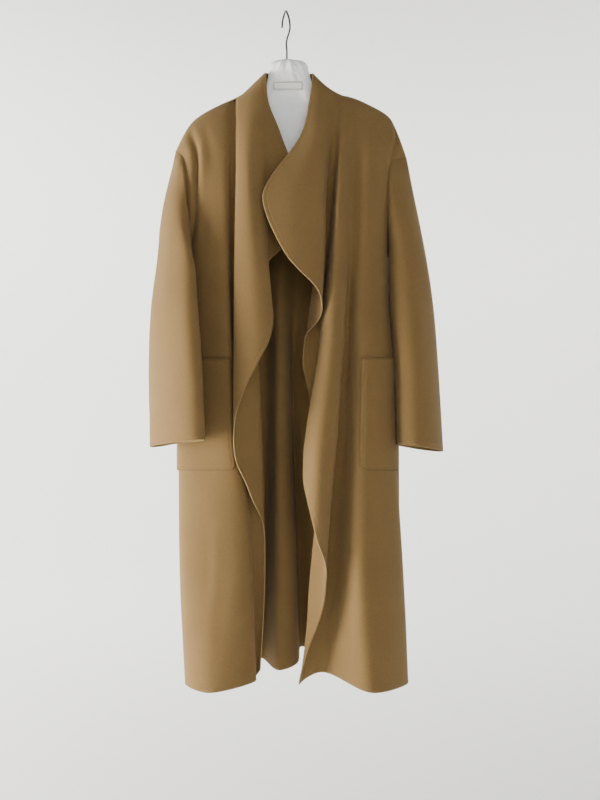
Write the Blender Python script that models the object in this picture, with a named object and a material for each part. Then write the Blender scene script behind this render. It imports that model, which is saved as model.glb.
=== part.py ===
"""Long wool overcoat with draped fronts, hanging on a covered hanger with a wire hook.

Metres, +Z up, the front of the coat towards -Y. The origin is the top of the hook's inside, where
whatever holds the hanger touches it. Tables are in millimetres.

The coat is drawn as folds. Each fold is a line from the shoulder to the hem, given at a few
stations: 0 is the shoulder seam, 4 the underarm and 11 the hem. "across" and "up" are read on an
elevation drawn from DRAWN_FROM; "forward" is how far the cloth stands in front of the hanger. A
point that stands forward is drawn larger on such an elevation, and placed() takes it back to its
true place.
"""

import math

import bmesh
import bpy
from mathutils import Vector

MM = 0.001
DRAWN_FROM = Vector((25.0, -1600.0, -737.0))

CLOTH = 2.4  # double-faced wool
COVER_CLOTH = 1.0
SEAM_GAP = 0.4
UNDERARM = 4
HEM = 11
# Each panel is divided here into an upper, a middle and a lower part, and each sleeve at the elbow,
# so that collision follows the folds. The parts meet as they would at a plain seam.
PANEL_CUTS = (UNDERARM, 7)
SLEEVE_CUT = 7

# How far down from the shoulder seam to the underarm each upper station lies.
UPPER_SHARES = [0.0, 0.15, 0.35, 0.65, 1.0]
# The height of the stations below the underarm, as drawn.
LOWER_HEIGHTS = {5: -557, 6: -661, 7: -813, 8: -946, 9: -1079, 10: -1174}

# Shoulder and collar outline from the sleeve seam to the top of the collar: (across, up).
RIGHT_SHOULDER = [
    (-210, -265), (-203, -250), (-196, -236), (-188, -222), (-175, -206), (-144, -186),
    (-93, -163), (-84, -157), (-60, -134), (-41, -116),
]
LEFT_SHOULDER = [
    (226, -277), (217, -251), (209, -230), (198, -206), (183, -192), (157, -178),
    (133, -167), (107, -160), (85, -149), (67, -135), (49, -117),
]
COLLAR_FROM_RIGHT = -84
COLLAR_FROM_LEFT = 107
BACK_NECK = [(-46, -162), (-4, -163), (24, -163), (52, -163)]

# Armhole: a loop from the shoulder tip down the front to the underarm and up the back,
# as (across, up, forward).
RIGHT_ARMHOLE = [
    (-210, -265, 0), (-196, -276, 16), (-191, -312, 32), (-190, -384, 30),
    (-196, -452, -3), (-194, -384, -36), (-196, -318, -38), (-204, -280, -22),
]
LEFT_ARMHOLE = [
    (226, -277, 0), (197, -285, 18), (192.5, -322, 36), (189.5, -395, 34),
    (189, -464, -3), (196, -395, -34), (202, -330, -38), (214, -292, -22),
]

# Side seam below the underarm: (station, across, forward), and its height at the hem.
RIGHT_SIDE_SEAM = [(4, -196, -3), (5, -203, -8), (7, -203, -14), (9, -197, -12), (11, -187, -5)]
LEFT_SIDE_SEAM = [(4, 189, -3), (5, 186, -10), (7, 196, -14), (9, 214, -14), (11, 224, -8)]
RIGHT_SEAM_HEM = -1264
LEFT_SEAM_HEM = -1264

# Folds of the wearer's right front, from the side seam inwards:
# (name, height at the hem, [(station, across, forward), ...]).
RIGHT_FRONT_FOLDS = [
    ("side", -1279, [(0, -196, 0), (1, -182, 25), (2, -177, 36), (3, -180, 36), (4, -190, 14),
                     (5, -195, 6), (6, -199, 2), (7, -201, 2), (9, -199, 25), (11, -190, 45)]),
    ("panel", -1293, [(0, -156, 0), (1, -152, 27), (2, -148, 42), (4, -150, 50), (6, -150, 54),
                      (7, -148, 60), (8, -142, 74), (9, -139, 86), (11, -148, 100)]),
    ("turn", -1272, [(0, -116, 0), (1, -115, 26), (2, -114, 41), (4, -114, 60), (5, -110, 63),
                     (6, -105, 64), (7, -97, 65), (8, -78, 66), (9, -70, 70), (11, -62, 72)]),
    ("valley", -1262, [(0, -106, 0), (1, -105, 21), (2, -105, 32), (4, -105, 34), (6, -101, 36),
                       (7, -89, 40), (8, -70, 44), (9, -64, 44), (11, -60, 38)]),
    ("inner", -1249, [(0, -101, 0), (1, -100, 22), (2, -98, 33), (3, -90, 38), (4, -78, 42),
                      (5, -64, 45), (6, -53, 47), (7, -47, 50), (8, -43, 52), (9, -42, 52),
                      (11, -51, 46)]),
    ("ridge", -1240, [(0, -93, 0), (1, -93, 31), (2, -94, 50), (4, -99, 76), (6, -101, 88),
                      (7, -101, 92), (9, -92, 86), (11, -84, 80)]),
    ("roll", -1240, [(0, -76, 0), (1, -76, 37), (2, -76, 60), (3, -74, 80), (4, -70, 96),
                     (5, -63, 106), (6, -57, 108), (7, -57, 104), (11, -57, 100)]),
    ("brow", -1240, [(0, -57, 0), (1, -56, 34), (2, -53, 54), (3, -49, 68), (4, -39, 88),
                     (5, -28, 98), (6, -21, 98), (11, -21, 90)]),
    ("recess", -1240, [(0, -40, 0), (1, -38, 27), (2, -28, 40), (3, -32, 48), (4, -36, 64),
                       (5, -36, 80), (6, -28, 82), (11, -28, 80)]),
    ("end", -1240, [(0, -27, 0), (1, -22, 22), (2, 6, 32), (3, 25, 36), (4, -6, 54),
                    (5, -26, 70), (6, -20, 76), (11, -20, 76)]),
]

# Folds of the wearer's left front, from the side seam inwards.
LEFT_FRONT_FOLDS = [
    ("side", -1277, [(0, 209, 0), (1, 197, 25), (2, 189, 40), (3, 187, 46), (4, 185, 46),
                     (5, 189, 46), (6, 197, 50), (7, 202, 50), (8, 210, 50), (9, 218, 50),
                     (11, 227, 52)]),
    ("broad", -1293, [(0, 158, 0), (1, 156, 28), (2, 152, 48), (3, 150, 64), (4, 144, 74),
                      (5, 137, 82), (6, 142, 86), (7, 139, 90), (9, 142, 102), (11, 160, 108)]),
    ("dip", -1253, [(0, 124, 0), (1, 124, 22), (2, 122, 36), (3, 118, 46), (4, 112, 50),
                    (5, 107, 50), (7, 98, 52), (8, 90, 54), (9, 83, 54), (10, 72, 50),
                    (11, 64, 46)]),
    ("inner", -1277, [(0, 121, 0), (1, 120, 23), (2, 116, 37), (3, 105, 46), (4, 93, 50),
                      (5, 85, 52), (6, 76, 54), (7, 62, 58), (8, 50, 62), (9, 42, 66),
                      (10, 36, 66), (11, 23, 62)]),
    ("turn", -1270, [(0, 118, 0), (1, 117, 25), (2, 113, 42), (3, 108, 60), (4, 104, 72),
                     (5, 101, 80), (6, 98, 84), (7, 90, 88), (8, 81, 92), (9, 74, 96),
                     (11, 66, 92)]),
    ("ridge", -1270, [(0, 110, 0), (1, 108, 33), (2, 103, 56), (3, 97, 76), (4, 93, 88),
                      (5, 86, 98), (6, 80, 102), (7, 63, 106), (8, 57, 108), (11, 48, 108)]),
    ("left", -1270, [(0, 98, 0), (1, 97, 28), (2, 95, 48), (3, 89, 64), (4, 81, 74), (5, 70, 80),
                     (6, 60, 84), (7, 35, 90), (8, 28, 92), (11, 22, 92)]),
    ("gap", -1270, [(0, 93, 0), (1, 93, 20), (2, 90, 32), (3, 83, 36), (4, 75, 36), (5, 67, 36),
                    (6, 58, 38), (7, 40, 44), (11, 34, 44)]),
    ("under", -1270, [(0, 90, 0), (1, 89, 21), (2, 84, 34), (3, 70, 40), (4, 57, 44), (5, 44, 46),
                      (6, 30, 46), (7, 21, 50), (11, 21, 50)]),
    ("brow", -1270, [(0, 84, 0), (1, 80, 29), (2, 75, 50), (3, 73, 70), (4, 72, 84), (5, 67, 96),
                     (6, 63, 98), (11, 63, 98)]),
    ("lapel", -1270, [(0, 66, 0), (1, 63, 36), (2, 53, 60), (3, 21, 84), (4, 21, 100),
                      (5, 25, 108), (11, 25, 108)]),
    ("end", -1270, [(0, 49, 0), (1, 43, 28), (2, 24, 50), (3, -45, 80), (4, -48, 98),
                    (11, -48, 98)]),
]

# The free edge: (station, how many folds the cloth still reaches there).
RIGHT_FRONT_REACH = [
    (0, 9.0), (1, 9.1), (2, 9.5), (3, 10.0), (3.6, 10.0), (4, 9.8), (4.24, 9.0), (4.73, 8.6),
    (5.22, 8.0), (5.73, 7.5), (6, 7.1), (6.25, 6.72), (6.48, 6.45), (6.71, 6.2), (7, 6.0),
    (7.28, 5.84), (7.57, 5.6), (7.86, 5.43), (8, 5.32), (8.14, 5.18), (8.29, 5.08), (8.6, 5.0),
    (11, 5.0),
]
LEFT_FRONT_REACH = [
    (0, 12.0), (3, 12.0), (3.3, 11.85), (3.65, 11.6), (4, 11.3), (4.24, 11.0), (4.5, 10.6),
    (4.75, 10.25), (5, 10.0), (5.22, 9.75), (5.4, 9.5), (5.55, 9.2), (5.7, 9.0), (6, 8.95),
    (6.25, 8.6), (6.5, 8.2), (6.9, 7.5), (7.2, 7.0), (7.55, 6.85), (7.8, 6.6), (8.1, 6.3),
    (8.4, 5.95), (8.7, 5.4), (8.95, 5.0), (9.3, 4.9), (9.8, 4.66), (10.2, 4.42), (10.4, 4.3),
    (10.7, 4.16), (11, 4.0),
]

# Folds of the back from the wearer's right seam to the left one; a forward value below 0 is behind.
BACK_FOLDS = [
    ("side_right", -1244, [(0, -196, 0), (1, -186, -26), (2, -180, -40), (4, -184, -46),
                           (7, -192, -50), (11, -176, -54)]),
    ("blade_right", -1234, [(0, -150, 0), (1, -146, -25), (2, -143, -38), (4, -140, -44),
                            (7, -130, -52), (11, -118, -62)]),
    ("neck_right", -1230, [(0, -84, 0), (1, -84, -27), (2, -84, -36), (4, -80, -40),
                           (7, -72, -34), (11, -72, -40)]),
    ("valley_right", -1226, [(0, -46, -24), (1, -46, -34), (3, -42, -42), (5, -40, -50),
                             (8, -42, -56), (11, -50, -58)]),
    ("centre", -1250, [(0, -4, -29), (1, -4, -34), (3, -6, -36), (5, -14, -22), (6, -15, -8),
                       (8, -15, 8), (11, -14, 30)]),
    ("brow", -1238, [(0, 24, -29), (1, 22, -34), (3, 8, -38), (5, -2, -30), (6, 0, -18),
                     (7, 3, -10), (8, 8, -4), (9, 13, 2), (11, 18, 10)]),
    ("valley_left", -1204, [(0, 46, -27), (1, 44, -36), (3, 28, -44), (5, 16, -50), (6, 11, -54),
                            (7, 13, -56), (8, 18, -58), (11, 28, -60)]),
    ("ridge_left", -1216, [(0, 64, -20), (1, 62, -34), (3, 50, -42), (5, 34, -40), (7, 36, -32),
                           (8, 44, -40), (11, 56, -54)]),
    ("neck_left", -1226, [(0, 107, 0), (1, 104, -27), (2, 102, -36), (4, 98, -42), (7, 96, -40),
                          (11, 100, -44)]),
    ("blade_left", -1234, [(0, 160, 0), (1, 156, -25), (2, 154, -38), (4, 150, -46),
                           (7, 160, -56), (11, 170, -64)]),
    ("side_left", -1244, [(0, 209, 0), (1, 198, -26), (2, 190, -40), (3, 189, -44),
                          (4, 192, -46), (4.5, 198, -47), (5, 200, -47), (7, 204, -50),
                          (9, 208, -50), (11, 214, -52)]),
]

# How a sleeve leaves each point of the armhole: (outward, up, forward).
SLEEVE_START = [
    (4, -20, 0), (7, -6, 3), (2, -4, 6), (4, -3, 5), (8, -3, 1), (8, -3, -3), (7, -4, -3),
    (7, -9, -2),
]
# How many degrees the underarm seam runs round to the back below the armhole.
RIGHT_SLEEVE_TWIST = 22
LEFT_SLEEVE_TWIST = 8
# Sleeve rings below the armhole, top to cuff: (across, up, forward, half width, half depth,
# degrees that the oval's front turns inwards, how much higher its outer point is).
RIGHT_SLEEVE_RINGS = [
    (-209, -414, 25, 18, 41, 32, 54),
    (-210, -486, 48, 19, 50, 41, 30),
    (-213, -562, 60, 26, 58, 42, 6),
    (-211, -665, 72, 29, 65, 43, 0),
    (-208, -819, 78, 30, 68, 43, -5),
]
LEFT_SLEEVE_RINGS = [
    (220, -420, 11, 23.5, 47, 14, 50),
    (230.5, -500, 16, 33.5, 50, 15, 25),
    (238, -566, 20, 38, 56, 16, 4),
    (245.5, -665, 24, 38.5, 60, 16, 0),
    (253, -828, 28, 41, 62, 17, -4),
]

# Patch pockets: the fold that each upright edge follows, at the top and at the bottom.
POCKET_TOP_STATION = 5.97
POCKET_CORNER_STATION = 7.33
POCKET_BOTTOM_STATION = 7.42
POCKET_CORNER = 13.0
RIGHT_POCKET_EDGES = {"outer": (0.16, 0.16), "inner": (2.93, 2.84)}
LEFT_POCKET_EDGES = {"outer": (0.12, 0.12), "inner": (2.0, 2.0)}

# Cover of the hanger: (drawn height, left edge, right edge, half depth, how round its ends are:
# 1 is an oval).
COVER_RINGS = [
    (-89.5, -2.8, 2.8, 2.8, 1), (-91, -12, 14, 7, 1), (-94, -25, 31, 9.5, 1),
    (-101, -32, 38.5, 11, 1), (-112, -33.5, 41, 11, 1), (-130, -37, 46, 12, 0.6),
    (-148, -44, 56, 12, 0.5), (-166, -70, 84, 10, 0.5), (-180, -104, 128, 8.5, 0.5),
    (-196, -138, 158, 8.5, 0.5), (-214, -164, 176, 9, 0.5), (-236, -170, 180, 10, 0.5),
    (-290, -172, 180, 14, 0.6),
]
# Top line of the hanger's arms under the cover: (across, up, half depth, half height).
ARM_SECTIONS = [
    (-160, -226, 4, 6), (-146, -215, 5, 9), (-120, -199, 5.5, 10), (-80, -181, 6, 11),
    (-42, -160, 7.5, 12), (-20, -122, 8.5, 12), (0, -106, 9, 13), (22, -122, 8.5, 12),
    (48, -160, 7.5, 12), (90, -179, 6, 11), (130, -195, 5.5, 10), (158, -213, 5, 9),
    (170, -224, 4, 6),
]

# Wire hook, from its tip behind to the foot of its stem: (across, up, forward).
WIRE = 3.7
HOOK_ROUTE = [
    (-9, -30, -20), (-8, -17, -19), (-5, -5, -13), (-2, 2, 0), (2, -5, 14), (5, -17, 21),
    (6, -29, 21), (4, -40, 15), (1, -49, 6), (-1, -59, 0), (0, -72, 0), (0, -88, 0), (0, -93.6, 0),
]

LABEL_SIZE = (57.0, 17.0)
LABEL_CENTRE = (2.0, -140.0)
LABEL_CLOTH = 0.8
COVER_FACE = 12  # how far the cover stands forward behind the label


def clear_scene():
    for item in list(bpy.data.objects):
        bpy.data.objects.remove(item, do_unlink=True)


def finish(name, colour, roughness, metallic=0.0):
    material = bpy.data.materials.new(name)
    material.use_nodes = True
    shader = material.node_tree.nodes["Principled BSDF"]
    shader.inputs["Base Color"].default_value = (*colour, 1.0)
    shader.inputs["Roughness"].default_value = roughness
    shader.inputs["Metallic"].default_value = metallic
    return material


def placed(across, up, forward):
    """The true place, in millimetres, of a point drawn at (across, up)."""
    drawn = Vector((across, 0.0, up))
    return DRAWN_FROM + (drawn - DRAWN_FROM) * (1.0 + forward / DRAWN_FROM.y)


def read(table, at):
    """A smooth reading of rows (key, value, ...) at a key; the end rows hold beyond the ends."""
    keys = [row[0] for row in table]
    rows = [row[1:] for row in table]
    if at <= keys[0]:
        return rows[0]
    if at >= keys[-1]:
        return rows[-1]
    i = max(k for k in range(len(keys)) if keys[k] <= at)
    span = keys[i + 1] - keys[i]
    u = (at - keys[i]) / span

    def slope(k, column):
        low, high = max(k - 1, 0), min(k + 1, len(keys) - 1)
        return (rows[high][column] - rows[low][column]) / (keys[high] - keys[low])

    values = []
    for column in range(len(rows[0])):
        start, end = rows[i][column], rows[i + 1][column]
        leave, arrive = slope(i, column) * span, slope(i + 1, column) * span
        values.append(
            (2 * u**3 - 3 * u**2 + 1) * start + (u**3 - 2 * u**2 + u) * leave
            + (3 * u**2 - 2 * u**3) * end + (u**3 - u**2) * arrive
        )
    return tuple(values)


def between(a, b, low, high, at):
    return a + (b - a) * ((at - low) / (high - low))


def through(points, at, closed=False):
    """A point on the smooth curve through a list of vectors; whole numbers are the vectors."""
    count = len(points)
    if closed:
        i = int(math.floor(at))
        four = [points[(i + k) % count] for k in (-1, 0, 1, 2)]
    else:
        i = min(max(int(math.floor(at)), 0), count - 2)
        before = points[i - 1] if i else points[0] * 2 - points[1]
        after = points[i + 2] if i + 2 < count else points[-1] * 2 - points[-2]
        four = [before, points[i], points[i + 1], after]
    knots = [0.0]
    for a, b in zip(four, four[1:]):
        knots.append(knots[-1] + max((b - a).length, 1e-6) ** 0.5)
    t = knots[1] + (at - i) * (knots[2] - knots[1])
    first = [between(four[k], four[k + 1], knots[k], knots[k + 1], t) for k in range(3)]
    second = [between(first[k], first[k + 1], knots[k], knots[k + 2], t) for k in range(2)]
    return between(second[0], second[1], knots[1], knots[2], t)


# ---- Panels drawn as folds ---------------------------------------------------------------


def fold_line(top, underarm, hem, knots):
    """A fold's readings by station: (station, across, up, forward)."""
    heights = [(i, top + share * (underarm - top)) for i, share in enumerate(UPPER_SHARES)]
    heights += [(station, height) for station, height in LOWER_HEIGHTS.items()]
    heights.append((HEM, hem))
    first, second = knots[0], knots[1]
    if first[2] == 0:  # the cloth goes level over the shoulder
        knots = [(-1, second[1], -3 * second[2])] + knots
        heights = [(-1, heights[1][1])] + heights
    return knots, heights


def fold_point(line, station):
    knots, heights = line
    across, forward = read(knots, station)
    return Vector((across, read(heights, station)[0], forward))


def make_panel(shoulder, armhole, armhole_step, side_seam, seam_hem, folds, opposite=None):
    """The folds of one panel as a function of the station; opposite is the far side's seam."""
    outline = sorted(shoulder)
    underarm = armhole[UNDERARM][1]
    lines = []
    for _, hem, knots in folds:
        lines.append(fold_line(read(outline, knots[0][1])[0], underarm, hem, knots))
    seam_heights = [(UNDERARM, underarm)] + list(LOWER_HEIGHTS.items()) + [(HEM, seam_hem)]
    loop = [Vector(point) for point in armhole]

    def seam(station):
        if station < UNDERARM:
            return through(loop, armhole_step * station % len(loop), closed=True)
        across, forward = read(side_seam, station)
        return Vector((across, read(seam_heights, station)[0], forward))

    def across_at(station):
        row = [seam(station)] + [fold_point(line, station) for line in lines]
        return row + [opposite(station)] if opposite else row

    return seam, across_at


def keys_between(divisions):
    keys = [0.0]
    for fold, count in enumerate(divisions):
        keys += [fold + (k + 1) / count for k in range(count)]
    return keys


def panel_rows(shoulder, across_at, keys, stations, reach=None):
    """Rows of (key, true point), each cut off at the free edge."""
    outline, top = sorted(shoulder), across_at(0)

    def panel_point(row, key, station):
        """A point on a row; near the shoulder seam it takes the seam's own line."""
        point = through(row, key)
        if station < 1:
            seam_point = through(top, key)
            point.y += (read(outline, seam_point.x)[0] - seam_point.y) * (1 - station) ** 2
        return placed(*point)

    rows = []
    for station in stations:
        row = across_at(station)
        kept = keys
        if reach:
            end = read(reach, station)[0]
            kept = [k for i, k in enumerate(keys) if k < end - 0.4 * (keys[i] - keys[i - 1])]
            kept = kept + [end]
        rows.append([(k, panel_point(row, k, station)) for k in kept])
    return rows


# ---- Sheets, seams and walls -------------------------------------------------------------


class Sheet:
    """The middle surface of a piece of cloth, made of rows that are zipped together."""

    def __init__(self, name, thickness, rows, closed=False, flip=False):
        self.name = name
        self.thickness = thickness
        self.points = []
        self.faces = []
        self.index = []
        for row in rows:
            self.index.append([(key, self.add(point)) for key, point in row])
        for upper, lower in zip(self.index, self.index[1:]):
            self.zip(upper, lower, closed)
        if flip:
            self.faces = [tuple(reversed(face)) for face in self.faces]

    def add(self, point):
        self.points.append(Vector(point))
        return len(self.points) - 1

    def zip(self, upper, lower, closed):
        if closed:
            upper = upper + [(upper[0][0] + closed, upper[0][1])]
            lower = lower + [(lower[0][0] + closed, lower[0][1])]
        i = j = 0
        while i < len(upper) - 1 or j < len(lower) - 1:
            up = upper[i + 1][0] if i < len(upper) - 1 else math.inf
            low = lower[j + 1][0] if j < len(lower) - 1 else math.inf
            if abs(up - low) < 1e-6:
                self.faces.append((upper[i][1], lower[j][1], lower[j + 1][1]))
                self.faces.append((upper[i][1], lower[j + 1][1], upper[i + 1][1]))
                i, j = i + 1, j + 1
            elif up < low:
                self.faces.append((upper[i][1], lower[j][1], upper[i + 1][1]))
                i += 1
            else:
                self.faces.append((upper[i][1], lower[j][1], lower[j + 1][1]))
                j += 1

    def measure(self):
        """Vertex normals, the boundary in order round each vertex, and the way inwards."""
        self.normals = [Vector() for _ in self.points]
        self.inward = [Vector() for _ in self.points]
        uses = {}
        areas = []
        for face in self.faces:
            corners = [self.points[i] for i in face]
            centre = sum(corners, Vector()) / len(corners)
            area = Vector()
            for k in range(1, len(corners) - 1):
                area += (corners[k] - corners[0]).cross(corners[k + 1] - corners[0])
            areas.append(area)
            for k, i in enumerate(face):
                self.normals[i] += area
                self.inward[i] += centre - self.points[i]
                edge = (i, face[(k + 1) % len(face)])
                uses[frozenset(edge)] = uses.get(frozenset(edge), []) + [edge]
        self.corner = [1.0] * len(self.points)
        for normal in self.normals:
            normal.normalize()
        for face, area in zip(self.faces, areas):
            for i in face:
                self.corner[i] = min(self.corner[i], self.normals[i].dot(area.normalized()))
        self.rim = [edges[0] for edges in uses.values() if len(edges) == 1]
        self.beside = {}
        for a, b in self.rim:
            self.beside.setdefault(a, []).append(b)
            self.beside.setdefault(b, []).append(a)

    def step_in(self, i, normal):
        """The direction in the cloth that leads away from the boundary at a point."""
        way = self.inward[i] - normal * self.inward[i].dot(normal)
        ends = [self.points[k] - self.points[i] for k in self.beside.get(i, [])]
        corner = ends[0].angle(ends[1], math.pi) if len(ends) == 2 else math.pi
        if corner > math.radians(150):
            along = (ends[0] - ends[1]).normalized()
            way -= along * way.dot(along)
        return way.normalized() / max(math.sin(corner / 2), 0.25)

    def lift(self, i):
        """The step at a point that lifts a parallel surface by one."""
        return self.normals[i] / max(self.corner[i], 0.7)

    def part(self, name, first, last):
        """Some of the rows as a sheet of their own, half a seam's gap short at each cut."""
        part = Sheet(name, self.thickness, [])
        part.points = [point.copy() for point in self.points]
        rows = self.index[first:last + 1]
        kept = {i for row in rows for _, i in row}
        part.faces = [face for face in self.faces if kept.issuperset(face)]
        part.measure()
        part.normals, part.stretch, part.place = self.normals, self.stretch, self.place
        cuts = (rows[0] if first else []) + (rows[-1] if last < len(self.index) - 1 else [])
        for _, i in cuts:
            part.points[i] += part.step_in(i, part.normals[i]) * (SEAM_GAP / 2)
        return part

    def wall(self, material):
        """The closed wall, as an object."""
        half = self.thickness / 2
        mesh = bmesh.new()
        sides = []
        for sign in (1, -1):
            sides.append({
                i: mesh.verts.new((
                    self.points[i] + self.normals[i] * (sign * half * self.stretch[i])) * MM)
                for i in sorted({i for face in self.faces for i in face})
            })
        outer, inner = sides
        for face in self.faces:
            mesh.faces.new([outer[i] for i in face])
            mesh.faces.new([inner[i] for i in reversed(face)])
        for a, b in self.rim:  # split the same way on both sides of a seam
            if self.place[a] < self.place[b]:
                mesh.faces.new([outer[b], outer[a], inner[b]])
                mesh.faces.new([outer[a], inner[a], inner[b]])
            else:
                mesh.faces.new([outer[b], outer[a], inner[a]])
                mesh.faces.new([outer[b], inner[a], inner[b]])
        return mesh_object(self.name, mesh, material)


def mesh_object(name, mesh, material):
    mesh.normal_update()
    if mesh.calc_volume(signed=True) < 0:
        bmesh.ops.reverse_faces(mesh, faces=mesh.faces[:])
    data = bpy.data.meshes.new(name)
    mesh.to_mesh(data)
    mesh.free()
    data.materials.append(material)
    data.shade_smooth()
    data.set_sharp_from_angle(angle=math.radians(50))
    item = bpy.data.objects.new(name, data)
    bpy.context.scene.collection.objects.link(item)
    return item


def join_seams(sheets):
    """Where sheets share a point, their walls meet on one plane, half a gap from it each."""
    for sheet in sheets:
        sheet.measure()
        sheet.stretch = [1.0] * len(sheet.points)
        sheet.place = [tuple(round(value, 3) for value in point) for point in sheet.points]
    shared = {}
    for sheet in sheets:
        for i in sheet.beside:
            shared.setdefault(sheet.place[i], []).append((sheet, i))
    for group in shared.values():
        if len({id(sheet) for sheet, _ in group}) < 2:
            continue
        faced = []
        for sheet, i in group:
            if all(sheet.normals[i].dot(other) < 0.8 for other in faced):
                faced.append(sheet.normals[i])
        normal = sum(faced, Vector()).normalized()
        for sheet, i in group:
            sheet.stretch[i] = 1 / max(normal.dot(sheet.normals[i]), 0.5)
            sheet.normals[i] = normal
            sheet.points[i] += sheet.step_in(i, normal) * (SEAM_GAP / 2)


# ---- The coat ----------------------------------------------------------------------------

STATIONS = [0, 0.12, 0.4, 1, 1.5, 2, 2.5, 3, 3.5, 4, 4.33, 4.67, 5, 5.33, 5.67,
            POCKET_TOP_STATION, 6.33, 6.67, 7, POCKET_CORNER_STATION, POCKET_BOTTOM_STATION,
            7.67, 8, 8.33, 8.67, 9, 9.33, 9.67, 10, 10.33, 10.67, 11]
RIGHT_FRONT_DIVISIONS = [2, 4, 2, 2, 2, 3, 4, 3, 2, 2]
LEFT_FRONT_DIVISIONS = [2, 4, 3, 2, 3, 3, 2, 2, 2, 3, 3, 3]
BACK_DIVISIONS = [1, 2, 2, 2, 3, 2, 3, 2, 2, 2, 2, 1]
NECK_CORNER = 6.5  # the fold where the shoulder seam ends and the collar begins
COLLAR_ROWS = 4


def make_fronts():
    right_seam, right_across = make_panel(
        RIGHT_SHOULDER, RIGHT_ARMHOLE, 1, RIGHT_SIDE_SEAM, RIGHT_SEAM_HEM, RIGHT_FRONT_FOLDS)
    left_seam, left_across = make_panel(
        LEFT_SHOULDER, LEFT_ARMHOLE, 1, LEFT_SIDE_SEAM, LEFT_SEAM_HEM, LEFT_FRONT_FOLDS)
    right_rows = panel_rows(RIGHT_SHOULDER, right_across, keys_between(RIGHT_FRONT_DIVISIONS),
                            STATIONS, RIGHT_FRONT_REACH)
    left_rows = panel_rows(LEFT_SHOULDER, left_across, keys_between(LEFT_FRONT_DIVISIONS),
                           STATIONS, LEFT_FRONT_REACH)
    return right_rows, left_rows


def make_back_rows(right_rows, left_rows):
    """The back's rows; its top row takes the points of both shoulder seams."""
    outline = [p for p in RIGHT_SHOULDER if p[0] <= COLLAR_FROM_RIGHT] + BACK_NECK
    outline += [p for p in LEFT_SHOULDER if p[0] >= COLLAR_FROM_LEFT]
    opposite, _ = make_panel(
        LEFT_SHOULDER, LEFT_ARMHOLE, -1, LEFT_SIDE_SEAM, LEFT_SEAM_HEM, [])
    _, across_at = make_panel(
        outline, RIGHT_ARMHOLE, -1, RIGHT_SIDE_SEAM, RIGHT_SEAM_HEM, BACK_FOLDS, opposite)
    rows = panel_rows(outline, across_at, keys_between(BACK_DIVISIONS), STATIONS)
    top = across_at(0)

    def key_at(point):
        low, high = 0.0, len(top) - 1.0
        for _ in range(40):
            middle = (low + high) / 2
            if placed(*through(top, middle)).x < point.x:
                low = middle
            else:
                high = middle
        return round((low + high) / 2, 5)

    shoulder_right = [p for k, p in right_rows[0] if k <= NECK_CORNER]
    shoulder_left = [p for k, p in left_rows[0] if k <= NECK_CORNER]
    neck_row = [
        (k, p) for k, p in rows[0]
        if key_at(shoulder_right[-1]) + 0.3 < k < key_at(shoulder_left[-1]) - 0.3
    ]
    first = [(key_at(p), p) for p in shoulder_right]
    last = [(key_at(p), p) for p in reversed(shoulder_left)]
    first[0] = (0.0, first[0][1])
    last[-1] = (float(len(top) - 1), last[-1][1])
    rows[0] = first + neck_row + last
    return rows, [p for _, p in neck_row]


def make_collar_rows(right_rows, left_rows, neck):
    """Rows run from the neck seam to the collar's top, one for each place round the neck."""

    def end_row(rows):
        points = [p for k, p in rows[0] if k >= NECK_CORNER]
        run = [0.0]
        for a, b in zip(points, points[1:]):
            run.append(run[-1] + (b - a).length)
        return [(length / run[-1], p) for length, p in zip(run, points)]

    first, last = end_row(right_rows), end_row(left_rows)

    def along(row, share):
        for (low, a), (high, b) in zip(row, row[1:]):
            if share <= high + 1e-9:
                return between(a, b, low, high, share)
        return row[-1][1]

    start, stop = first[0][1], last[0][1]
    rows = [first]
    for foot in neck:
        share = (foot.x - start.x) / (stop.x - start.x)
        behind = foot.y - (start.y + share * (stop.y - start.y))
        row = [(0.0, foot)]
        for step in range(1, COLLAR_ROWS + 1):
            rise = step / COLLAR_ROWS
            point = along(first, rise).lerp(along(last, rise), share)
            point.y += behind * (1 - 0.12 * rise)
            point.z += 4 * rise * math.sin(math.pi * share) + (foot.z - start.z) * (1 - rise)
            row.append((rise, point))
        rows.append(row)
    return rows + [last]


def sleeve_rings(armhole, rings, twist, outward):
    """Control rings from the armhole to the cuff, each with a point for every mesh column."""
    loop = [Vector(point) for point in armhole]
    upper = [station for station in STATIONS if station <= UNDERARM]
    places = upper + [len(loop) - station for station in reversed(upper[1:-1])]
    columns = [placed(*through(loop, place % len(loop), closed=True)) for place in places]
    controls = [columns]
    for across, up, forward, half_width, half_depth, turn, tilt in rings:
        lean = math.radians(turn)
        ring = []
        for place in places:
            angle = 2 * math.pi * place / len(loop)
            round_at = angle + math.radians(twist) * ((1 - math.cos(angle)) / 2) ** 4
            out, ahead = half_width * math.cos(round_at), half_depth * math.sin(round_at)
            ring.append(placed(
                across + outward * (out * math.cos(lean) - ahead * math.sin(lean)),
                up + tilt * math.cos(angle),
                forward + out * math.sin(lean) + ahead * math.cos(lean),
            ))
        controls.append(ring)
    start = []
    for place, point in zip(places, columns):
        out, rise, ahead = through([Vector(row) for row in SLEEVE_START], place, closed=True)
        start.append(point + Vector((outward * out, -ahead, rise)))
    controls.insert(1, start)
    return places, controls


def make_sleeve_rows(armhole, rings, twist, outward, steps=3):
    places, controls = sleeve_rings(armhole, rings, twist, outward)
    rows = []
    for k in [0] + list(range(steps, steps * (len(controls) - 1) + 1)):
        rows.append([
            (place, through([ring[column] for ring in controls], k / steps))
            for column, place in enumerate(places)
        ])
    return rows


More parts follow.
